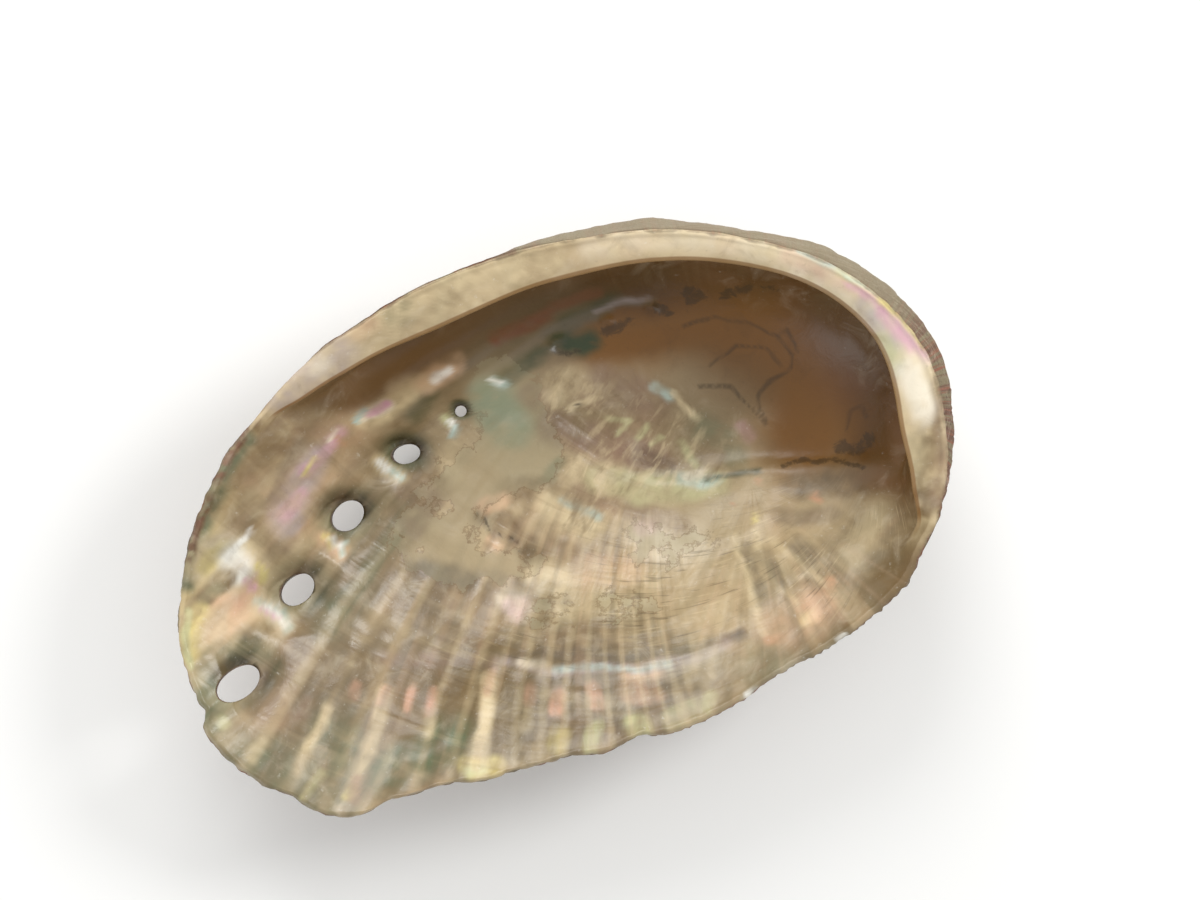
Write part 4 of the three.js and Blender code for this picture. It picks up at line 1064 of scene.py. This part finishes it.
class Surface:
    """What the paint of the shell reads at each point of its mesh."""

    def __init__(self, mesh, matrix):
        back = np.array(matrix.inverted())
        self.places = places_of(mesh) @ back[:3, :3].T + back[:3, 3]
        read = lambda name: np.array([item.value for item in mesh.attributes[name].data])
        self.side, self.edge, self.nose, self.shelf = (read(name) for name in FIELDS)
        self.on_shelf = smooth(self.nose, 1.0, -0.2) * smooth(self.shelf, 1.6, 3)
        self.seen = as_seen(self.places)
        self.radius, _, self.cord, self.growth = spiral(*self.places[:, :2].T)

    def strayed(self, uneven, reach, size, octaves):
        """Where the points are seen, each moved aside by up to reach, so that what is drawn looks grown."""
        px, py = self.seen.T
        aside = [uneven(px + apart, py, size, octaves) for apart in (0, 400)]
        return self.seen + reach * np.column_stack(aside)


def painted(surface, colours):
    """The colour of each point of the shell before its fine grain."""
    uneven = Unevenness(PAINT_SEED)
    px, py = surface.seen.T
    places = surface.strayed(uneven, 6, 34, 3)
    broken = np.clip(0.8 + 0.5 * uneven(px, py, 9, 2), 0, 1)
    stronger, crisper = BROKEN_MARKS
    colour = np.tile(colours["sand"], (len(places), 1))

    def cover(name, amount):
        nonlocal colour
        colour = colour + (colours[name] - colour) * amount[:, None]

    for name, strength, radius, softness, points in CAVITY_COLOURS_AND_SHADE:
        cover(name, strength * mark(places, radius, softness, points))
    for name, strength, radius, softness, points in MARKS:
        strength = np.clip(stronger * strength * broken, 0, 1)
        cover(name, strength * mark(places, radius, crisper * softness, points))

    # painted shade round the holes: the side towards the light, where the funnel's wall faces away from it,
    # is darkened with umber and, more widely, bottle green; sage tints the other side, and the green is
    # partly the nacre's own
    for hole in HOLES:
        away = hole_distance(*surface.places[:, :2].T, hole)
        towards_light = (surface.places[:, :2] - hole[:2]) @ (0.5, 0.87) / (away + hole[2] / 2)
        size = hole[2] / 7
        cover("sage", 0.7 * smooth(away, 3 * size, 0.3) * smooth(towards_light, 0.4, -0.4))
        cover("bottle", 0.9 * smooth(away, 5 * size, 0.5) * smooth(towards_light, -0.9, 0.4))
        cover("umber", smooth(away, 3.4 * size, 0) * smooth(towards_light, -0.3, 0.7))
    beads = smooth(surface.edge, 3.4, 1.6) * smooth(uneven(px, py, 7, 2), -0.4, 0.3)
    for points in CRUSTED_EDGE:
        cover("crust", 0.95 * beads * mark(surface.seen, 12, 8, points))
    for name, strength, radius, softness, points in HOLE_HIGHLIGHTS:
        cover(name, strength * mark(places, radius, softness, points))

    # painted shade: cocoa on the underside of the shelf; then the shelf's top over everything else
    under = smooth(surface.nose, 0.5, 3) * smooth(surface.nose, 30, 12) * smooth(surface.shelf, 2, 5)
    cover("cocoa", 0.9 * under)
    cover("cream", surface.on_shelf)
    for name, strength, radius, softness, points in SHELF_MARKS:
        cover(name, strength * broken * surface.on_shelf * mark(places, radius, softness, points))
    return colour


def paint_fields(surface):
    """The values that the shell's material reads, by attribute name, each a number for every point."""
    px, py = surface.seen.T
    places = surface.strayed(Unevenness(PATTERN_SEED), 3, 22, 2)
    in_bowl = (1 - surface.side) * (1 - surface.on_shelf)
    strongest = lambda marks: np.max([part[0] * mark(places, *part[1:]) for part in marks], axis=0)
    scar, cavity = strongest(SCAR), mark(places, *CAVITY)
    fan = smooth(np.hypot(px - FAN[0], py - FAN[1]), 30, 110) * smooth(py - 0.12 * (px - 600), 470, 560)
    arcs = np.min([path_distance(places, np.array(arc, float)) for arc in ARCS], axis=0)
    return {
        "scar": in_bowl * scar,
        "blotch": in_bowl * strongest(BLOTCHES),
        "streaks": in_bowl * np.maximum(fan, 0.25 * smooth(py, 430, 560)) * (1 - cavity),
        "feather": in_bowl * mark(places, *FEATHER),
        "margins": in_bowl * smooth(surface.radius, 30, 55) * (1 - cavity) * (1 - 0.7 * scar),
        "cavity": in_bowl * cavity,
        "wrinkled": in_bowl * (1 - cavity) * (0.12 + 0.88 * mark(places, *WRINKLED_FLOOR)),
        "arcs": np.where(in_bowl > 0.5, arcs, FAR),
        "right": smooth(px, 640, 720),
        "smooth_side": surface.side * smooth(surface.edge, 24, 6) * mark(places, *SMOOTH_BACK),
    }


def paint_vectors(surface):
    """The places that the patterns of the shell's material are read at, by attribute name."""
    right, down = (surface.seen - FAN).T
    along = surface.seen @ (math.cos(BARBS), -math.sin(BARBS)) / BARB_SIZE[0]
    across = surface.seen @ (math.sin(BARBS), math.cos(BARBS)) / BARB_SIZE[1]
    return {
        "barbs": np.column_stack([along, across, np.zeros_like(along)]),
        "cords": wound(surface.cord, surface.radius, CORD_SPREAD),
        "growth": wound(surface.growth, surface.radius, GROWTH_SPREAD),
        "fan": wound(np.arctan2(down, right), np.hypot(down, right), FAN_SPREAD),
    }


# The patterns of the shell's material: the attribute that each is read at, or the place itself, and its
# scale, detail, roughness and distortion
PATTERNS = {
    "cord bars": ("cords", 11.0, 1.0, 0.5, 0.4),
    "fan bars": ("fan", 6.0, 1.5, 0.5, 0.4),
    "fine cord bars": ("cords", 27.0, 1.0, 0.5, 0.6),
    "fine fan bars": ("fan", 13.0, 1.0, 0.5, 0.6),
    "lines": ("growth", 19.0, 2.0, 0.5, 0.5),
    "broad lines": ("growth", 6.0, 2.0, 0.5, 0.0),
    "wrinkles": ("growth", 60.0, 2.0, 0.6, 0.3),
    "wrinkled patches": ("place", 50.0, 1.0, 0.5, 0.0),
    "mottle": ("place", 170.0, 4.0, 0.6, 0.6),
    "specks": ("place", 900.0, 3.0, 0.6, 0.0),
    "cloud": ("place", 55.0, 3.0, 0.6, 0.6),
    "barbs": ("barbs", 1.0, 3.0, 0.6, 0.3),
    "film edge": ("place", 280.0, 5.0, 0.65, 0.0),
    "film bays": ("place", 110.0, 2.0, 0.5, 0.0),
    "film shades": ("place", 70.0, 2.0, 0.5, 0.0),
    "frayed": ("place", 420.0, 4.0, 0.7, 1.0),
    "arc width": ("place", 200.0, 2.0, 0.5, 0.0),
    "arc wear": ("place", 90.0, 2.0, 0.5, 0.0),
    "bands": ("growth", 14.0, 3.0, 0.6, 0.0),
    "red lines": ("growth", 30.0, 2.0, 0.5, 0.0),
    "crust ribs": ("cords", 60.0, 2.0, 0.5, 0.0),
    "wrap": ("place", 260.0, 3.0, 0.5, 0.0),
    "folds": ("place", 95.0, 1.0, 0.4, 0.8),
}
BUMP_REACH, BUMP = 1 * MM, 0.5    # how deep the patterns' relief is, and how strong
# Grain laid over the nacre's paint, in order: its pattern, the values that it starts and is full at, where it
# lies, its strength and its colour
NACRE_GRAIN = (
    ("cloud", 0.45, 0.7, "open bowl", 0.14, "sage"),
    ("cloud", 0.5, 0.3, "open bowl", 0.14, "rose"),
    ("bars", 0.5, 0.7, "streaks", 0.26, "cream"),
    ("bars", 0.5, 0.3, "streaks", 0.42, "dusk"),
    ("fine bars", 0.5, 0.7, "streaks", 0.1, "peach"),
    ("fine bars", 0.5, 0.3, "streaks", 0.12, "slate"),
    ("broad lines", 0.5, 0.3, "margins", 0.25, "dusk"),
    ("lines", 0.5, 0.7, "margins", 0.1, "cream"),
    ("lines", 0.5, 0.3, "margins", 0.22, "walnut"),
    ("wrinkles", 0.42, 0.3, "worn", 0.4, "umber"),
    ("wrinkles", 0.58, 0.7, "worn", 0.3, "cream"),
    ("barbs", 0.5, 0.68, "feather", 0.4, "cream"),
    ("barbs", 0.5, 0.3, "feather", 0.5, "walnut"),
    ("mottle", 0.5, 0.72, "open bowl", 0.14, "pearl"),
    ("mottle", 0.5, 0.28, "open bowl", 0.25, "walnut"),
    ("mottle", 0.5, 0.28, "cavity", 0.12, "umber"),
    # painted glints: white specks over the open bowl
    ("specks", 0.62, 0.85, "open bowl", 0.25, "glint_white"),
    ("specks", 0.4, 0.2, "everywhere", 0.15, "umber"),
)
# The same for the crust of the back
CRUST_GRAIN = (
    ("red lines", 0.52, 0.64, "everywhere", 1.0, "rust"),
    ("crust ribs", 0.5, 0.7, "everywhere", 0.5, "lime_crust"),
    ("mottle", 0.56, 0.66, "everywhere", 0.6, "lime_crust"),
    ("specks", 0.45, 0.3, "everywhere", 0.5, "umber"),
)


def shell_material(colours):
    """Nacre inside and crust outside, from the mesh's paint and grain along the cords and growth lines."""
    material = bpy.data.materials.new("abalone nacre and crust")
    material.use_nodes = True
    tree = material.node_tree
    tree.nodes.clear()
    g = Graph(tree)
    attribute = lambda name, output: g.node("ShaderNodeAttribute", attribute_name=name).outputs[output]
    shade = {name: (*value, 1.0) for name, value in colours.items()}
    at = {name: attribute(name, "Vector") for name in ("cords", "growth", "fan", "barbs")}
    at["place"] = g.node("ShaderNodeTexCoord").outputs["Object"]
    pattern = {name: g.noise(at[source], *values) for name, (source, *values) in PATTERNS.items()}
    where = {name: attribute(name, "Fac") for name in (
        *FIELDS, "ribs", "right", "streaks", "margins", "cavity", "wrinkled", "feather", "scar", "blotch",
        "arcs", "smooth_side")}
    side, nose = where["side"], where["nose"]
    inside = g.math("SUBTRACT", 1.0, side)
    open_bowl = g.math("SUBTRACT", 1.0, where["cavity"])
    worn = g.times(g.step(pattern["wrinkled patches"], 0.42, 0.6), where["wrinkled"])
    where.update({"everywhere": 1.0, "open bowl": open_bowl, "worn": worn})

    # broad and fine streaks follow the cords of the lip on the left and the fan on the right
    ribbed = g.add(0.25, g.times(where["ribs"], 0.15), g.times(pattern["cord bars"], 0.5))
    pattern["bars"] = g.mix(where["right"], ribbed, pattern["fan bars"])
    pattern["fine bars"] = g.mix(where["right"], pattern["fine cord bars"], pattern["fine fan bars"])

    def grained(base, grain):
        for name, start, full, place, strength, tone in grain:
            amount = g.times(g.step(pattern[name], start, full), where[place], strength)
            base = g.mix(amount, base, shade[tone])
        return base

    paint = attribute("paint", "Color")
    nacre = grained(paint, NACRE_GRAIN)

    # the muscle scar's film with its ragged brown edge
    centred = lambda name: g.math("SUBTRACT", pattern[name], 0.5)
    ragged = g.add(g.times(centred("film edge"), 1.8), g.times(centred("film bays"), 1.5))
    film_reach = g.add(where["scar"], g.times(ragged, g.step(where["scar"], 0.02, 0.15)))
    film = g.step(film_reach, 0.5, 0.55)
    film_edge = g.times(g.step(film_reach, 0.4, 0.5), g.math("SUBTRACT", 1.0, film))
    greener = g.times(g.step(pattern["film shades"], 0.45, 0.65), 0.5)
    film_shade = g.mix(greener, shade["olive"], shade["fern"])
    nacre = g.mix(g.times(film, 0.75), nacre, g.mix(0.4, paint, film_shade))
    nacre = g.mix(g.times(film_edge, open_bowl, 0.55), nacre, shade["walnut"])

    # blotches and thin worn lines, and the golden inner edge of the shelf
    blotch = g.step(g.add(where["blotch"], g.times(centred("frayed"), 1.6)), 0.5, 0.9)
    nacre = g.mix(g.times(blotch, 0.6), nacre, shade["umber"])
    thin = g.step(g.add(where["arcs"], g.times(pattern["arc width"], 3.0)), 5.2, 1.4)
    wear = g.add(0.3, g.times(g.step(pattern["arc wear"], 0.3, 0.6), 0.25))
    nacre = g.mix(g.times(thin, wear), nacre, shade["umber"])
    golden = g.times(g.step(nose, -1.1, -0.7), g.step(nose, 0.7, 0.2), g.step(where["shelf"], 2.0, 3.5))
    nacre = g.mix(g.times(golden, 0.75), nacre, shade["amber"])

    # the crust of the back, which wraps over the margin
    bands, ribs = pattern["bands"], pattern["crust ribs"]
    crust = grained(g.mix(g.step(bands, 0.4, 0.6), shade["crust"], shade["moss"]), CRUST_GRAIN)
    crust = g.mix(g.times(where["smooth_side"], 0.9), crust, shade["drab"])
    wrap = g.step(g.add(where["edge"], g.times(pattern["wrap"], 1.6)), 1.5, 0.7)
    outer = g.math("MAXIMUM", g.step(side, 0.3, 0.7), g.times(wrap, 0.7))

    mottle, specks = pattern["mottle"], pattern["specks"]
    rough = g.add(0.25, g.times(outer, 0.42), g.times(film, inside, 0.15), g.times(mottle, 0.12))
    nacre_height = g.add(g.times(pattern["folds"], open_bowl, 1.6),
                         g.times(pattern["bars"], where["streaks"], 0.7),
                         g.times(pattern["lines"], where["margins"], 0.4), g.times(mottle, 0.3))
    crust_height = g.add(ribs, bands, g.times(specks, 0.8))
    height = g.add(g.times(inside, nacre_height), g.times(outer, crust_height))
    bump = g.node("ShaderNodeBump", {"Height": height, "Distance": BUMP_REACH, "Strength": BUMP}).outputs[0]
    surface = {"Base Color": g.mix(outer, nacre, crust), "Roughness": rough, "Normal": bump, "IOR": 1.46}
    shader = g.node("ShaderNodeBsdfPrincipled", surface)
    g.node("ShaderNodeOutputMaterial", {"Surface": shader.outputs[0]})
    return material


def tint(red, green, blue):
    """A colour given as it shows on a screen, 0 to 255, in the linear values that the renderer uses."""
    shown = (value / 255 for value in (red, green, blue))
    return tuple(v / 12.92 if v <= 0.04045 else ((v + 0.055) / 1.055) ** 2.4 for v in shown)


def length(name, default, description):
    return bpy.props.FloatProperty(name=name, description=description, default=default, min=0, unit="LENGTH",
                                   subtype="DISTANCE", precision=4)


def colour(name, shown, description):
    return bpy.props.FloatVectorProperty(name=name, description=description, default=tint(*shown), min=0,
                                         max=1, size=3, subtype="COLOR")


class ShellSizes(bpy.types.PropertyGroup):
    lip_thickness: length("Lip thickness", 0.0013, "Thickness of the wall at the margin")
    floor_thickness: length("Floor thickness", 0.0032, "Thickness of the wall on the floor of the bowl")
    depth: length("Depth", 0.036, "How far the back lies below the margin")
    nose: length("Shelf edge radius", 0.0009, "Radius of the rounded inner edge of the shelf")
    rib_height: length("Rib height", 0.0002, "Height of the fine ribs on the back and on the outer lip")
    growth_height: length("Growth line height", 0.0001, "Height of the fine growth lines on the back")
    crust_height: length("Crust height", 0.0001, "Unevenness of the crust on the back")
    ripple_height: length("Nacre ripple height", 0.00008, "Height of the ripples in the nacre")
    ribs_a_turn: bpy.props.IntProperty(name="Ribs a turn", default=80, min=1,
                                       description="How many fine ribs one turn of the spiral has")


class ShellColours(bpy.types.PropertyGroup):
    sand: colour("Sand", (182, 161, 125), "Nacre of the floor of the bowl")
    cream: colour("Cream", (221, 201, 160), "Pale nacre of the shelf and of the ridges")
    # also laid as painted highlights
    pearl: colour("Pearl", (242, 229, 203), "Brightest nacre")
    # painted glints and highlights of the nacre
    glint_white: colour("White", (252, 250, 240), "Glints in the nacre")
    olive: colour("Olive", (152, 143, 112), "Muscle scar")
    fern: colour("Fern", (140, 148, 120), "Greener part of the muscle scar")
    sage: colour("Sage", (101, 110, 82), "Grey-green nacre near the margin")
    # round the holes it is partly painted shade
    bottle: colour("Bottle", (58, 68, 42), "Dark green round the holes")
    dusk: colour("Dusk", (114, 99, 75), "Greyer nacre of the outer lip")
    slate: colour("Slate", (108, 96, 78), "Grey bands between the growth lines")
    mauve: colour("Mauve", (140, 114, 92), "Brownish pink nacre")
    walnut: colour("Walnut", (118, 96, 64), "Brown patches beside the scar")
    rosewood: colour("Rosewood", (112, 68, 46), "Reddish brown bars in the cavity")
    # the cavity's own brown, laid darker as painted shade under the shelf
    cocoa: colour("Cocoa", (92, 60, 20), "Depth of the cavity under the shelf")
    amber: colour("Amber", (126, 84, 30), "Amber floor of the cavity")
    # also painted shade round the holes and just below the shelf's edge
    umber: colour("Umber", (50, 38, 20), "Dark lines and blotches")
    rose: colour("Rose", (200, 155, 128), "Pinkish bars of the lip")
    peach: colour("Peach", (222, 184, 148), "Peach nacre")
    orange: colour("Orange", (204, 152, 116), "Orange flecks")
    # the shimmer colours below are painted sheen of the nacre
    pink: colour("Pink", (226, 170, 192), "Pink shimmer")
    lilac: colour("Lilac", (182, 168, 170), "Lilac shimmer")
    gold: colour("Gold", (230, 212, 140), "Yellow shimmer")
    lime: colour("Lime", (204, 203, 152), "Yellow-green shimmer")
    aqua: colour("Aqua", (184, 206, 196), "Blue-green shimmer")
    crust: colour("Crust", (104, 66, 50), "Reddish brown crust of the back")
    moss: colour("Moss", (126, 114, 86), "Olive bands of the back")
    drab: colour("Drab", (138, 126, 102), "Smooth greyish band of the back beside the shelf")
    rust: colour("Rust", (134, 84, 62), "Redder growth lines of the back")
    lime_crust: colour("Lime crust", (176, 160, 138), "Pale deposits on the back")


def power(name, default, description):
    return bpy.props.FloatProperty(name=name, description=description, default=default, min=0, unit="POWER")


class StageSettings(bpy.types.PropertyGroup):
    floor: colour("Floor", (240, 240, 238), "Colour of the floor")
    key_power: power("Key light", 1.9, "Power of the large light above the shelf")
    fill_power: power("Fill light", 1.5, "Power of the light on the other side")
    low_power: power("Low light", 0.4, "Power of the low light on the left")
    world: bpy.props.FloatProperty(name="Room light", description="Strength of the even light of the room",
                                   default=0.72, min=0)
    lens: bpy.props.FloatProperty(name="Lens", description="Focal length of the camera, in millimetres",
                                  default=69.7, min=1)


def palette(group, names):
    """The colours of a property group as arrays, by name."""
    return {name: np.array(getattr(group, name)) for name in names}


class ABALONE_OT_shell(bpy.types.Operator):
    """Builds the abalone shell with its holes, nacre and crust"""
    bl_idname = "abalone.shell"
    bl_label = "Shell"

    def execute(self, context):
        sizes = context.scene.abalone_sizes
        colours = palette(context.scene.abalone_colours, ShellColours.__annotations__)
        wall_sizes = ("lip_thickness", "floor_thickness", "depth", "nose")
        outside, inside = shell_nets({name: getattr(sizes, name) / MM for name in wall_sizes})
        mesh, points = net_mesh("shell net", outside, inside)
        matrix = rest_matrix()
        mesh.transform(matrix)
        x, y = points[:, 0], points[:, 1]
        radius, _, cord, growth = spiral(x, y)
        near = np.min([hole_distance(x, y, hole) for hole in HOLES], axis=0)
        store(mesh, "cord", cord)
        store(mesh, "growth", wound(growth, radius, GROWTH_SPREAD), "FLOAT_VECTOR")
        store(mesh, "relief", smooth(near, 0.5, 3))
        for column_number, name in enumerate(FIELDS, 3):
            store(mesh, name, points[:, column_number])

        base = bpy.data.objects.new("shell net", mesh)
        holes = bpy.data.objects.new("hole centres", hole_centres(outside, matrix))
        for made in (base, holes):
            context.scene.collection.objects.link(made)
        modifier = base.modifiers.new("relief and holes", "NODES")
        modifier.node_group = relief_tree()
        values = {"Hole centres": holes, "Material": shell_material(colours), "Rib height": sizes.rib_height,
                  "Growth line height": sizes.growth_height, "Crust height": sizes.crust_height,
                  "Nacre ripple height": sizes.ripple_height, "Ribs a turn": float(sizes.ribs_a_turn)}
        for item in modifier.node_group.interface.items_tree:
            if item.in_out == "INPUT" and item.name in values:
                modifier[item.identifier] = values[item.name]
        evaluated = base.evaluated_get(context.evaluated_depsgraph_get())
        mesh = bpy.data.meshes.new_from_object(evaluated)
        for leftover in (base, holes):
            bpy.data.objects.remove(leftover)
        for name in RELIEF_FIELDS:
            mesh.attributes.remove(mesh.attributes[name])
        settle(mesh)

        surface = Surface(mesh, matrix)
        for name, values in paint_fields(surface).items():
            store(mesh, name, values)
        for name, values in paint_vectors(surface).items():
            store(mesh, name, values, "FLOAT_VECTOR")
        paint = np.column_stack([painted(surface, colours), np.ones(len(surface.places))])
        store(mesh, "paint", paint, "FLOAT_COLOR")
        mesh.shade_smooth()
        shell = bpy.data.objects.new("nacre_shell", mesh)
        context.scene.collection.objects.link(shell)
        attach(shell, "root")
        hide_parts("shell")
        return {"FINISHED"}


def floor_material(shown):
    """A plain pale matt floor."""
    material = bpy.data.materials.new("pale floor")
    material.use_nodes = True
    shader = material.node_tree.nodes["Principled BSDF"]
    shader.inputs["Base Color"].default_value = (*shown, 1)
    shader.inputs["Roughness"].default_value = 0.9
    return material


def softbox(context, name, matrix, place, target, size, power):
    """A round soft light at a place of the mouth frame, turned to another."""
    data = bpy.data.lights.new(name, "AREA")
    data.shape, data.size, data.energy = "DISK", size, power
    light = bpy.data.objects.new(name, data)
    light.location = matrix @ Vector(place)
    way = matrix @ Vector(target) - light.location
    light.rotation_euler = way.to_track_quat("-Z", "Y").to_euler()
    context.scene.collection.objects.link(light)


class ABALONE_OT_stage(bpy.types.Operator):
    """Makes the floor, the lights and the camera at the photograph's viewing angle"""
    bl_idname = "abalone.stage"
    bl_label = "Stage"

    def execute(self, context):
        scene, settings = context.scene, context.scene.abalone_stage
        matrix = rest_matrix()

        mesh = bpy.data.meshes.new("floor")
        reach = 1.5
        mesh.from_pydata([(-reach, -reach, 0), (reach, -reach, 0), (reach, reach, 0), (-reach, reach, 0)],
                         [], [(0, 1, 2, 3)])
        mesh.materials.append(floor_material(settings.floor))
        floor = bpy.data.objects.new("floor", mesh)
        scene.collection.objects.link(floor)
        floor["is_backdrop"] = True

        softbox(context, "key light", matrix, (-120, 500, 330), (0, 0, 0), 0.4, settings.key_power)
        softbox(context, "fill light", matrix, (420, 230, 380), (0, 0, 0), 0.2, settings.fill_power)
        softbox(context, "low light", matrix, (-360, -280, 120), (-60, -10, -36), 0.3, settings.low_power)
        world = bpy.data.worlds.new("studio")
        world.use_nodes = True
        background = world.node_tree.nodes["Background"]
        background.inputs["Color"].default_value = (1, 1, 1, 1)
        background.inputs["Strength"].default_value = settings.world
        scene.world = world

        data = bpy.data.cameras.new("camera")
        data.lens, data.sensor_width = settings.lens, 36
        camera = bpy.data.objects.new("camera", data)
        camera.matrix_world = Matrix.Translation(matrix @ Vector((0, 0, VIEW_DISTANCE))) @ rest_turn()
        scene.collection.objects.link(camera)
        scene.camera = camera
        scene.view_settings.view_transform = "Standard"
        return {"FINISHED"}


class ABALONE_PT_panel(bpy.types.Panel):
    """Lists the operators of the shell and its stage"""
    bl_idname = "ABALONE_PT_panel"
    bl_label = "Abalone shell"
    bl_space_type = "VIEW_3D"
    bl_region_type = "UI"
    bl_category = "Shell"

    def draw(self, context):
        for groups, operator in ((("abalone_sizes", "abalone_colours"), "abalone.shell"),
                                 (("abalone_stage",), "abalone.stage")):
            box = self.layout.box()
            for group in groups:
                settings = getattr(context.scene, group)
                for name in settings.__annotations__:
                    box.prop(settings, name)
            box.operator(operator)


GROUPS = {"abalone_sizes": ShellSizes, "abalone_colours": ShellColours, "abalone_stage": StageSettings}
CLASSES = (*GROUPS.values(), ABALONE_OT_shell, ABALONE_OT_stage, ABALONE_PT_panel)


def register():
    for made in CLASSES:
        bpy.utils.register_class(made)
    for name, group in GROUPS.items():
        setattr(bpy.types.Scene, name, bpy.props.PointerProperty(type=group))


def unregister():
    for name in GROUPS:
        delattr(bpy.types.Scene, name)
    for made in reversed(CLASSES):
        bpy.utils.unregister_class(made)


def main():
    register()
    bpy.ops.abalone.shell()
    bpy.ops.abalone.stage()
    boxes = {"cad": cad_box, "visual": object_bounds()}
    {name: [list(corner) for corner in box] for name, box in boxes.items()}


if __name__ == "__main__":
    main()
